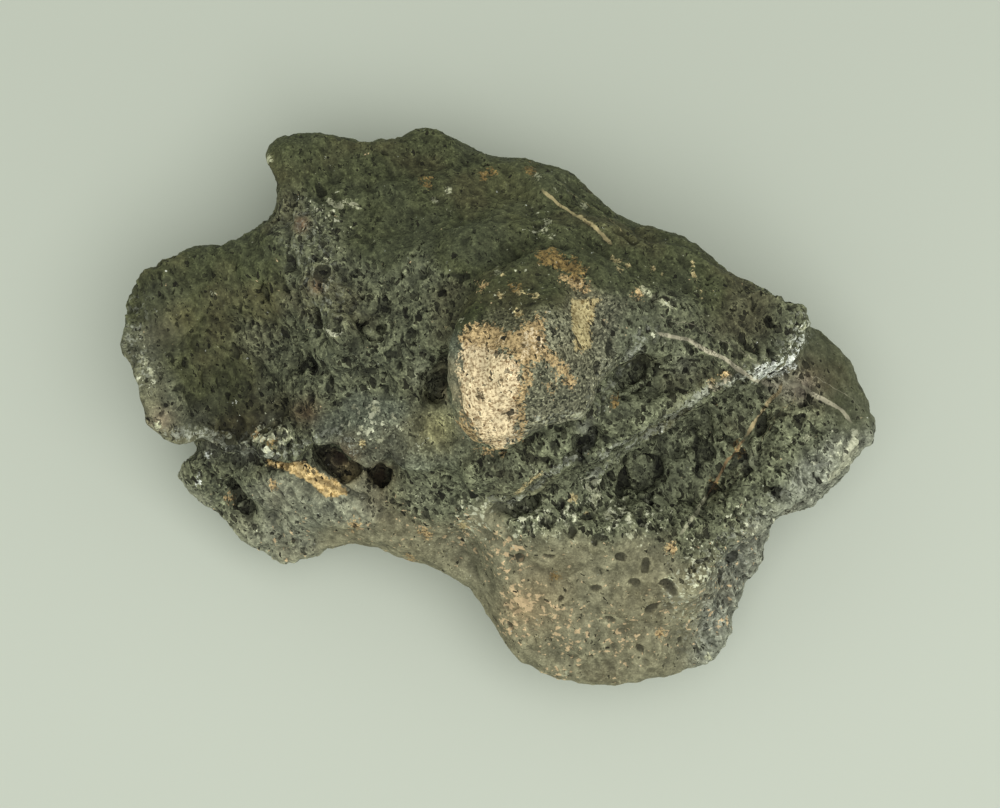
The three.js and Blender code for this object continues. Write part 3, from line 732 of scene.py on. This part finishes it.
def stain_depths(plan, seen):
    """For each stain, how deep each place lies in it, in mm."""
    depths = {stain: np.full(len(plan), -STAIN_REACH, np.float32) for stain in STAIN_COLOURS}
    for stain, outlines in STAIN_PATCHES.items():
        for outline in outlines:
            depths[stain] = np.maximum(depths[stain], patch_depth(plan, outline, STAIN_REACH))
    for stain, lines in STAIN_LINES.items():
        for line, width in lines:
            depths[stain] = np.maximum(depths[stain], width - line_distance(plan, line, STAIN_REACH))
    for stain, spots in STAIN_SPOTS.items():
        for x, y, radius in spots:
            gap = np.hypot(plan[:, 0] - x, plan[:, 1] - y)
            depths[stain] = np.maximum(depths[stain], radius - gap)
    return {stain: np.where(seen > 0.5, depth, -STAIN_REACH) for stain, depth in depths.items()}


def vein_course(plan, line, reach):
    """Left or right distance from a vein, up to the reach, and whether the place lies along it."""
    line = np.asarray(line, np.float32)
    nearest = np.full(len(plan), reach, np.float32)
    side = np.full(len(plan), reach, np.float32)
    beside = np.zeros(len(plan), np.float32)
    last = len(line) - 2
    for number, (start, end) in enumerate(zip(line[:-1], line[1:])):
        along = (end - start) / np.linalg.norm(end - start)
        away = plan - start
        ahead = away @ along
        over = np.maximum(-ahead, ahead - np.linalg.norm(end - start))
        across = away[:, 0] * along[1] - away[:, 1] * along[0]
        gap = np.hypot(across, np.maximum(over, 0))
        closer = gap < nearest
        nearest[closer] = gap[closer]
        side[closer] = (np.sign(across) * gap)[closer]
        open_end = (number == 0) & (ahead < 0) | (number == last) & (over > 0) & (ahead > 0)
        beside[closer] = np.where(open_end, 1 - over, 1)[closer]
    return np.stack([side, np.clip(beside, 0, 1), np.zeros(len(plan))], 1)


def clusters(plan, spots):
    """Round clusters that fade outwards, each with its middle, radius and strength."""
    strongest = np.zeros(len(plan), np.float32)
    for x, y, radius, strength in spots:
        gap = np.hypot(plan[:, 0] - x, plan[:, 1] - y) / radius
        strongest = np.maximum(strongest, strength * np.exp(-gap * gap))
    return strongest


def mark_body(body):
    """Keep on the mesh what its material and its bubbles need to know of each place."""
    mesh = body.data
    places = read(mesh.vertices, "co", 3) / MM
    surface = BVHTree.FromObject(body, bpy.context.evaluated_depsgraph_get())
    plan, seen = in_plan(places)
    shares = skin_shares(places, surface)
    above_foot = np.clip((places[:, 2] - FOOT_EDGE) / FOOT_FADE, 0, 1)
    depths = stain_depths(plan, seen)
    crust = np.clip(CRUST_REACH + np.maximum(depths["cream"], depths["straw"]), 0, 1)

    tones = [
        sum(np.outer(share, linear(SKINS[skin][which])) for skin, share in shares.items())
        for which in (0, 1)
    ]
    # The tints, painted shade and painted light among them, go into the dark and the light tone
    for x, y, radius, colour, strength in TINTS:
        share = (seen * clusters(plan, [(x, y, radius, strength)]))[:, None]
        tones = [
            tone * (1 - share) + share * brightness * np.array(linear(colour))
            for tone, brightness in zip(tones, TINT_TONES)
        ]
    bubbles, holes, pores, crags, grains = (
        sum(share * SKINS[skin][which] for skin, share in shares.items()) for which in range(2, 7)
    )
    flow = np.array(FLOW, np.float32)
    store(mesh, "rest", places)
    store(mesh, "flow", places + (1 / FLOW_STRETCH - 1) * (places @ flow)[:, None] * flow)
    store(mesh, "dark tone", tones[0])
    store(mesh, "light tone", tones[1])
    store(mesh, "bubbles", bubbles * (1 - crust) * above_foot)
    store(mesh, "crags", crags * above_foot)
    store(mesh, "holes", holes * (1 - 0.7 * crust))
    store(mesh, "pores", pores)
    store(mesh, "grains", grains)
    for kind, spots in FLECKS.items():
        store(mesh, kind, seen * clusters(plan, spots))
    # Pale dust and painted highlight along the crests
    dust = np.zeros(len(places), np.float32)
    for line, width, strength in CREST_DUST_AND_HIGHLIGHT_BANDS:
        gap = line_distance(plan, line, 3 * width) / width
        dust = np.maximum(dust, strength * np.exp(-gap * gap))
    store(mesh, "crest dust and highlight", seen * dust)
    for stain, depth in depths.items():
        store(mesh, stain, depth)
    for vein, (points, _, _) in VEINS.items():
        course = vein_course(plan, points, STAIN_REACH)
        course[:, 1] *= seen
        store(mesh, vein, course)


# Crags and bubbles


def crag_height(tree, place, broken, given):
    """Crags of every size, one on top of the other; the middle ones have sharp crests."""
    height = 0.0
    for size in CRAGS:
        scale = add(tree, "ShaderNodeMath", [1.0, given[f"{size} crag width"]], operation="DIVIDE")
        bumps = add(
            tree, "ShaderNodeTexNoise", {"Vector": place, "Scale": scale, "Detail": 2.0, "Roughness": 0.5}
        )
        bumps = add(tree, "ShaderNodeMath", [bumps, 0.5], operation="SUBTRACT")
        if size == "middle":
            bumps = add(tree, "ShaderNodeMath", [bumps], operation="ABSOLUTE")
            bumps = add(tree, "ShaderNodeMath", [CREST_WIDTH, bumps], operation="SUBTRACT")
        rise = given[f"{size} crag height"]
        height = add(tree, "ShaderNodeMath", [bumps, rise, height], operation="MULTIPLY_ADD")
    return add(tree, "ShaderNodeMath", [height, broken], operation="MULTIPLY")


def bubble_depth(tree, place, outward, share, given):
    """How deep the bubbles of every size cut into the surface, whose outward side is given."""
    far, width = BUBBLE_WOBBLE
    wobble = add(
        tree, "ShaderNodeTexNoise", {"Vector": place, "Scale": 1 / width, "Detail": 2.0}, out="Color"
    )
    wobble = add(tree, "ShaderNodeVectorMath", [wobble, (0.5, 0.5, 0.5)], operation="SUBTRACT")
    place = add(tree, "ShaderNodeVectorMath", [wobble, (far, far, far), place], operation="MULTIPLY_ADD")
    depth = 0.0
    for number, size in enumerate(BUBBLES):
        spacing = given[f"{size} bubble spacing"]
        scale = add(tree, "ShaderNodeMath", [1.0, spacing], operation="DIVIDE")
        shifted = add(tree, "ShaderNodeVectorMath", [place, (31.7 * number, 12.3 * number, 7.9 * number)])
        middle = add(tree, "ShaderNodeTexVoronoi", {"Vector": shifted, "Scale": scale}, out="Position")
        chance = add(tree, "ShaderNodeSeparateXYZ", [middle.node.outputs["Color"]])
        room = add(tree, "ShaderNodeMath", [chance, -0.9, share], operation="MULTIPLY_ADD")
        room = add(tree, "ShaderNodeClamp", [room])
        room = add(tree, "ShaderNodeMath", [room, 0.6], operation="POWER")
        room = add(tree, "ShaderNodeMath", [room, given[f"{size} bubble radius"]], operation="MULTIPLY")
        radius = add(tree, "ShaderNodeMath", [room, spacing], operation="MULTIPLY")
        away = add(tree, "ShaderNodeVectorMath", [shifted, middle], operation="SUBTRACT")
        along = add(tree, "ShaderNodeVectorMath", [away, outward], out="Value", operation="DOT_PRODUCT")
        square = add(tree, "ShaderNodeVectorMath", [away, away], out="Value", operation="DOT_PRODUCT")
        square = add(tree, "ShaderNodeMath", [square, -1.0], operation="MULTIPLY")
        inner = add(tree, "ShaderNodeMath", [radius, radius, square], operation="MULTIPLY_ADD")
        inside = add(tree, "ShaderNodeMath", [inner, 0.0], operation="GREATER_THAN")
        reach = add(tree, "ShaderNodeMath", [along, along, inner], operation="MULTIPLY_ADD")
        reach = add(tree, "ShaderNodeMath", [reach, 0.0], operation="MAXIMUM")
        reach = add(tree, "ShaderNodeMath", [reach, 0.5], operation="POWER")
        reach = add(tree, "ShaderNodeMath", [reach, along], operation="ADD")
        reach = add(tree, "ShaderNodeMath", [reach, inside], operation="MULTIPLY")
        depth = add(tree, "ShaderNodeMath", [depth, reach], operation="MAXIMUM")
    return depth


def crags_and_bubbles():
    """Geometry Nodes that break a smooth body: crags raised, and bubbles cut open by the surface."""
    tree = bpy.data.node_groups.new("crags and bubbles", "GeometryNodeTree")
    tree.is_modifier = True
    tree.interface.new_socket("Body", in_out="INPUT", socket_type="NodeSocketGeometry")
    sizes = [f"{size} crag {what}" for size in CRAGS for what in ("width", "height")]
    sizes += [f"{size} bubble {what}" for size in BUBBLES for what in ("spacing", "radius")]
    for name in sizes:
        tree.interface.new_socket(name, in_out="INPUT", socket_type="NodeSocketFloat")
    tree.interface.new_socket("Material", in_out="INPUT", socket_type="NodeSocketMaterial")
    tree.interface.new_socket("Stone", in_out="OUTPUT", socket_type="NodeSocketGeometry")
    given = tree.nodes.new("NodeGroupInput").outputs
    share, broken = (
        add(tree, "GeometryNodeInputNamedAttribute", {"Name": name}, data_type="FLOAT")
        for name in ("bubbles", "crags")
    )
    place = add(
        tree, "GeometryNodeInputNamedAttribute", {"Name": "flow"}, data_type="FLOAT_VECTOR"
    )
    outward = add(tree, "GeometryNodeInputNormal")
    height = crag_height(tree, place, broken, given)
    depth = bubble_depth(tree, place, outward, share, given)
    lift = add(tree, "ShaderNodeMath", [height, depth], operation="SUBTRACT")
    lift = add(tree, "ShaderNodeMath", [lift, MM], operation="MULTIPLY")
    offset = add(tree, "ShaderNodeVectorMath", {0: outward, "Scale": lift}, operation="SCALE")
    body = add(
        tree,
        "GeometryNodeStoreNamedAttribute",
        {"Geometry": given["Body"], "Name": "bubble", "Value": depth},
        data_type="FLOAT",
        domain="POINT",
    )
    body = add(tree, "GeometryNodeSetPosition", {"Geometry": body, "Offset": offset})
    now = add(tree, "GeometryNodeInputPosition")
    facing = add(tree, "GeometryNodeInputNormal")
    for name, rounds in PROUD.items():
        evened = add(
            tree, "GeometryNodeBlurAttribute", {0: now, "Iterations": rounds}, data_type="FLOAT_VECTOR"
        )
        proud = add(tree, "ShaderNodeVectorMath", [now, evened], operation="SUBTRACT")
        proud = add(tree, "ShaderNodeVectorMath", [proud, facing], out="Value", operation="DOT_PRODUCT")
        proud = add(tree, "ShaderNodeMath", [proud, 1 / MM], operation="MULTIPLY")
        body = add(
            tree,
            "GeometryNodeStoreNamedAttribute",
            {"Geometry": body, "Name": name, "Value": proud},
            data_type="FLOAT",
            domain="POINT",
        )
    solid = add(tree, "GeometryNodeRealizeInstances", [body])
    painted = add(tree, "GeometryNodeSetMaterial", {"Geometry": solid, "Material": given["Material"]})
    result = tree.nodes.new("NodeGroupOutput")
    tree.links.new(painted, result.inputs[0])
    return tree


def break_skin(body, material):
    """Run the nodes on the body, and thin the result to about TRIANGLE_LIMIT triangles."""
    tree = crags_and_bubbles()
    skin = body.modifiers.new("skin", "NODES")
    skin.node_group = tree
    values = {"Material": material}
    for size, (width, height) in CRAGS.items():
        values[f"{size} crag width"] = width
        values[f"{size} crag height"] = height
    for size, (spacing, radius) in BUBBLES.items():
        values[f"{size} bubble spacing"] = spacing
        values[f"{size} bubble radius"] = radius
    for socket in tree.interface.items_tree:
        if socket.name in values:
            skin[socket.identifier] = values[socket.name]
    baked(body)
    thin = body.modifiers.new("thinner", "DECIMATE")
    thin.ratio = TRIANGLE_LIMIT / (2 * len(body.data.polygons))
    return baked(body)


# Materials


def basalt_tones(tree, rest):
    """Clouds of a few millimetres between a dark and a light tone, with sharp mineral grains in them."""
    clouds = add(
        tree,
        "ShaderNodeTexNoise",
        {"Vector": rest, "Scale": 1 / PATTERNS["clouds"], "Detail": 4.0, "Roughness": 0.65},
    )
    clouds = add(tree, "ShaderNodeMapRange", [clouds, 0.38, 0.62, 0.0, 1.0])
    cells = add(
        tree, "ShaderNodeTexVoronoi", {"Vector": rest, "Scale": 1 / PATTERNS["grains"]}, out="Color"
    )
    grain = add(tree, "ShaderNodeSeparateXYZ", [cells])
    sharpness = add(tree, "ShaderNodeAttribute", out="Fac", attribute_name="grains")
    tone = add(tree, "ShaderNodeMix", {0: sharpness, 2: clouds, 3: grain})
    dark = add(tree, "ShaderNodeAttribute", attribute_name="dark tone")
    light = add(tree, "ShaderNodeAttribute", attribute_name="light tone")
    colour = add(tree, "ShaderNodeMix", {0: tone, 6: dark, 7: light}, out=2, data_type="RGBA")
    drift = add(
        tree, "ShaderNodeTexNoise", {"Vector": rest, "Scale": 1 / PATTERNS["drift"], "Detail": 2.0}
    )
    brown = add(tree, "ShaderNodeMapRange", [drift, 0.52, 0.66, 0.0, 0.3])
    grey = add(tree, "ShaderNodeMapRange", [drift, 0.48, 0.36, 0.0, 0.2])
    for share, other in ((brown, BROWN_DRIFT), (grey, GREY_DRIFT)):
        colour = add(
            tree, "ShaderNodeMix", {0: share, 6: colour, 7: linear(other)}, out=2, data_type="RGBA"
        )
    return colour, grain


def specked(tree, colour, rest):
    """Crisp specks half a millimetre across: bright crystal faces, and dark gaps between the grains."""
    specks = add(
        tree,
        "ShaderNodeTexNoise",
        {"Vector": rest, "Scale": 1 / PATTERNS["specks"], "Detail": 2.0, "Roughness": 0.6},
    )
    bright = add(tree, "ShaderNodeMapRange", [specks, 0.58, 0.7, 0.0, 1.2])
    gap = add(tree, "ShaderNodeMapRange", [specks, 0.44, 0.34, 0.0, -0.6])
    change = add(tree, "ShaderNodeMath", [bright, gap])
    sharpness = add(tree, "ShaderNodeAttribute", out="Fac", attribute_name="grains")
    change = add(tree, "ShaderNodeMath", [change, sharpness, 1.0], operation="MULTIPLY_ADD")
    return add(tree, "ShaderNodeVectorMath", {0: colour, "Scale": change}, operation="SCALE")


def flecked(tree, colour, rest):
    """Ragged flecks of clay and of pale crystal, a millimetre across."""
    for number, (kind, fleck_colour) in enumerate(FLECK_COLOURS.items()):
        shifted = add(tree, "ShaderNodeVectorMath", [rest, (13.0, 7.0 * number, 5.0)])
        fleck = add(
            tree,
            "ShaderNodeTexNoise",
            {"Vector": shifted, "Scale": 1 / PATTERNS["flecks"], "Detail": 2.0, "Roughness": 0.6},
        )
        share = add(tree, "ShaderNodeAttribute", out="Fac", attribute_name=kind)
        share = add(tree, "ShaderNodeMath", [share, 0.36, fleck], operation="MULTIPLY_ADD")
        share = add(tree, "ShaderNodeMapRange", [share, 0.745, 0.79, 0.0, 0.9])
        colour = add(
            tree, "ShaderNodeMix", {0: share, 6: colour, 7: linear(fleck_colour)}, out=2, data_type="RGBA"
        )
    return colour


def stained(tree, colour, grain, rest):
    """Stains with ragged borders, speckled in themselves; the pits are painted shade, the crystals partly
    painted highlight and glints.
    """
    ragged = add(
        tree,
        "ShaderNodeTexNoise",
        {"Vector": rest, "Scale": 1 / PATTERNS["ragged borders"], "Detail": 4.0, "Roughness": 0.8},
    )
    speckle = add(
        tree,
        "ShaderNodeTexNoise",
        {"Vector": rest, "Scale": 1 / PATTERNS["speckle of the stains"], "Detail": 2.0, "Roughness": 0.7},
    )
    speckle = add(tree, "ShaderNodeMapRange", [speckle, 0.4, 0.58, 0.0, 0.8])
    speckle = add(tree, "ShaderNodeMath", [grain, 0.4, speckle], operation="MULTIPLY_ADD")
    ragged = add(tree, "ShaderNodeMath", [ragged, 8.0, -4.0], operation="MULTIPLY_ADD")
    ragged = add(tree, "ShaderNodeMath", [speckle, 1.2, ragged], operation="MULTIPLY_ADD")
    for stain, (dark, light, cover, raggedness) in STAIN_COLOURS.items():
        depth = add(tree, "ShaderNodeAttribute", out="Fac", attribute_name=stain)
        share = add(tree, "ShaderNodeMath", [ragged, raggedness, depth], operation="MULTIPLY_ADD")
        share = add(tree, "ShaderNodeMapRange", [share, 0.35, 0.7, 0.0, cover])
        inner = add(tree, "ShaderNodeMapRange", [depth, 0.0, 2.0, -0.2, 0.1])
        inner = add(tree, "ShaderNodeMath", [inner, speckle])
        inner = add(
            tree, "ShaderNodeMix", {0: inner, 6: linear(dark), 7: linear(light)}, out=2, data_type="RGBA"
        )
        colour = add(tree, "ShaderNodeMix", {0: share, 6: colour, 7: inner}, out=2, data_type="RGBA")
    return colour


def veined(tree, colour, rest):
    """Thin pale veins, broken here and there, and pale dust and painted highlight along the sharp crests.
    """
    broken = add(
        tree,
        "ShaderNodeTexNoise",
        {"Vector": rest, "Scale": 1 / PATTERNS["breaks in the veins"], "Detail": 3.0, "Roughness": 0.7},
    )
    for vein, (_, width, vein_colour) in VEINS.items():
        course = add(tree, "ShaderNodeAttribute", out="Vector", attribute_name=vein)
        side = add(tree, "ShaderNodeSeparateXYZ", [course])
        gap = add(tree, "ShaderNodeMath", [side], operation="ABSOLUTE")
        gap = add(tree, "ShaderNodeMath", [broken, 1.6 * width, gap], operation="MULTIPLY_ADD")
        share = add(tree, "ShaderNodeMapRange", [gap, 1.95 * width, 1.55 * width, 0.0, 0.9])
        share = add(tree, "ShaderNodeMath", [share, side.node.outputs["Y"]], operation="MULTIPLY")
        colour = add(
            tree, "ShaderNodeMix", {0: share, 6: colour, 7: linear(vein_colour)}, out=2, data_type="RGBA"
        )
    # Pale dust and painted highlight along the crests
    dust = add(tree, "ShaderNodeMapRange", [broken, 0.53, 0.62, 0.0, 0.85])
    crest = add(tree, "ShaderNodeAttribute", out="Fac", attribute_name="crest dust and highlight")
    dust = add(tree, "ShaderNodeMath", [dust, crest], operation="MULTIPLY")
    return add(
        tree, "ShaderNodeMix", {0: dust, 6: colour, 7: linear(CREST_DUST_AND_HIGHLIGHT_COLOUR)}, out=2, data_type="RGBA"
    )


def pores_with_painted_shade(tree, colour, flow):
    """Holes too fine for the mesh, with painted shade inside and a painted highlight on the rim, and the
    height that sinks them.
    """
    wobble = add(
        tree,
        "ShaderNodeTexNoise",
        {"Vector": flow, "Scale": 1 / PATTERNS["wobble of the pores"], "Detail": 3.0},
        out="Color",
    )
    wavy = add(tree, "ShaderNodeVectorMath", [wobble, (3.0, 3.0, 3.0), flow], operation="MULTIPLY_ADD")
    height = add(tree, "ShaderNodeSeparateXYZ", [wobble])
    height = add(tree, "ShaderNodeMath", [height, 0.5], operation="MULTIPLY")
    for number, (spacing, largest, kind) in enumerate(PORES):
        shifted = add(tree, "ShaderNodeVectorMath", [wavy, (5.1 * number, 2.3, 9.7 * number)])
        away = add(
            tree, "ShaderNodeTexVoronoi", {"Vector": shifted, "Scale": 1 / spacing}, out="Distance"
        )
        chance = add(tree, "ShaderNodeSeparateXYZ", [away.node.outputs["Color"]])
        room = add(tree, "ShaderNodeAttribute", out="Fac", attribute_name=kind)
        size = add(tree, "ShaderNodeMath", [chance, -1.0, room], operation="MULTIPLY_ADD")
        size = add(tree, "ShaderNodeClamp", [size])
        size = add(tree, "ShaderNodeMath", [size, 0.4], operation="POWER")
        size = add(tree, "ShaderNodeMath", [size, largest], operation="MULTIPLY")
        gap = add(tree, "ShaderNodeMath", [away, size], operation="SUBTRACT")
        present = add(tree, "ShaderNodeMath", [size, 0.02], operation="GREATER_THAN")
        inside = add(tree, "ShaderNodeMapRange", [gap, 0.01, -0.07, 0.0, 1.0])
        inside = add(tree, "ShaderNodeMath", [inside, present], operation="MULTIPLY")
        # Painted highlight on the rim of each hole
        rim = add(tree, "ShaderNodeMapRange", [gap, 0.14, 0.03, 0.0, 0.4])
        rim = add(tree, "ShaderNodeMath", [rim, present, 1.0], operation="MULTIPLY_ADD")
        colour = add(tree, "ShaderNodeVectorMath", {0: colour, "Scale": rim}, operation="SCALE")
        # Painted shade inside each hole
        dark = add(tree, "ShaderNodeMapRange", [chance.node.outputs["Y"], 0.0, 1.0, 0.6, 1.0])
        dark = add(tree, "ShaderNodeMath", [inside, dark], operation="MULTIPLY")
        colour = add(
            tree, "ShaderNodeMix", {0: dark, 6: colour, 7: linear(PORE_SHADE_COLOUR)}, out=2, data_type="RGBA"
        )
        height = add(tree, "ShaderNodeMath", [inside, -0.7 * spacing, height], operation="MULTIPLY_ADD")
    return colour, height


def painted_shade_and_highlight(tree, colour):
    """Painted shade down in bubbles, holes and hollows, and painted highlight along rims and crests."""
    shade = 1.0
    for name, (low, high, darkest, palest) in PAINTED_SHADES.items():
        depth = add(tree, "ShaderNodeAttribute", out="Fac", attribute_name=name)
        step = add(tree, "ShaderNodeMapRange", [depth, low, high, darkest, palest])
        shade = add(tree, "ShaderNodeMath", [shade, step], operation="MULTIPLY")
    return add(tree, "ShaderNodeVectorMath", {0: colour, "Scale": shade}, operation="SCALE")


def vesicular_basalt():
    """Basalt full of gas bubbles, broken and weathered: dull, dark olive grey, with painted highlight on
    its edges and painted shade in its hollows.
    """
    material = bpy.data.materials.new("vesicular basalt")
    material.use_nodes = True
    tree = material.node_tree
    tree.nodes.clear()
    rest = add(tree, "ShaderNodeAttribute", out="Vector", attribute_name="rest")
    flow = add(tree, "ShaderNodeAttribute", out="Vector", attribute_name="flow")
    colour, grain = basalt_tones(tree, rest)
    colour = specked(tree, colour, rest)
    colour = flecked(tree, colour, rest)
    colour = stained(tree, colour, grain, rest)
    colour, height = pores_with_painted_shade(tree, colour, flow)
    colour = veined(tree, colour, rest)
    # Painted shade in bubbles, holes and hollows, and painted highlight on rims and crests
    colour = painted_shade_and_highlight(tree, colour)
    bump = add(tree, "ShaderNodeBump", {"Strength": 0.8, "Distance": MM, "Height": height})
    shader = add(
        tree,
        "ShaderNodeBsdfPrincipled",
        {"Base Color": colour, "Roughness": 0.85, "Normal": bump, "Specular IOR Level": 0.35},
    )
    end = tree.nodes.new("ShaderNodeOutputMaterial")
    tree.links.new(shader, end.inputs["Surface"])
    return material


def painted_board():
    """Matt painted board, pale grey green, a little darker towards the back: painted shade of the light
    falling off.
    """
    material = bpy.data.materials.new("painted board")
    material.use_nodes = True
    tree = material.node_tree
    tree.nodes.clear()
    place = add(tree, "ShaderNodeTexCoord", out=3)
    back = add(tree, "ShaderNodeSeparateXYZ", [place], out=1)
    # Painted shade: darker towards the back, as the light falls off
    dull = add(tree, "ShaderNodeMapRange", [back, *FLOOR_SHADE_FADE, 0.0, 1.0])
    front, behind = (linear(tone) for tone in FLOOR_PAINT)
    paint = add(tree, "ShaderNodeMix", {0: dull, 6: front, 7: behind}, out=2, data_type="RGBA")
    shader = add(tree, "ShaderNodeBsdfPrincipled", {"Base Color": paint, "Roughness": 0.9})
    end = tree.nodes.new("ShaderNodeOutputMaterial")
    tree.links.new(shader, end.inputs["Surface"])
    return material


# The pieces


def make_stone():
    body = rounded_body()
    press(body)
    mark_body(body)
    stone = break_skin(body, vesicular_basalt())
    stone.data.shade_smooth()
    stone.name = "basalt_stone"
    return stone


def make_floor():
    mesh = bpy.data.meshes.new("floor")
    far = FLOOR_REACH
    corners = [(-far, -far, 0), (far, -far, 0), (far, far, 0), (-far, far, 0)]
    mesh.from_pydata(corners, [], [(0, 1, 2, 3)])
    floor = bpy.data.objects.new("floor", mesh)
    bpy.context.scene.collection.objects.link(floor)
    mesh.materials.append(painted_board())
    return floor


def soft_light(name, place, aim, size, power):
    """A square soft box that shines from its place towards its aim."""
    data = bpy.data.lights.new(name, "AREA")
    data.energy = power
    data.size = size
    lamp = bpy.data.objects.new(name, data)
    lamp.location = place
    lamp.rotation_euler = (Vector(aim) - Vector(place)).to_track_quat("-Z", "Y").to_euler()
    bpy.context.scene.collection.objects.link(lamp)


def light_the_stone():
    world = bpy.data.worlds.new("room light")
    bpy.context.scene.world = world
    world.use_nodes = True
    colour, strength = ROOM_LIGHT
    world.node_tree.nodes["Background"].inputs["Color"].default_value = linear(colour)
    world.node_tree.nodes["Background"].inputs["Strength"].default_value = strength
    soft_light("window", *WINDOW)


def camera_above():
    data = bpy.data.cameras.new("eye")
    data.sensor_width = 36.0
    data.lens = data.sensor_width * (EYE_HEIGHT - PLAN_HEIGHT) / PLAN_WIDTH
    data.clip_end = 20.0
    eye = bpy.data.objects.new("eye", data)
    eye.location = Vector((*EYE_SIDESTEP, EYE_HEIGHT)) * MM
    bpy.context.scene.collection.objects.link(eye)
    bpy.context.scene.camera = eye


stone = make_stone()
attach(stone, "root")
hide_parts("stone")
make_floor()
light_the_stone()
camera_above()
bpy.context.scene.view_settings.view_transform = "Standard"
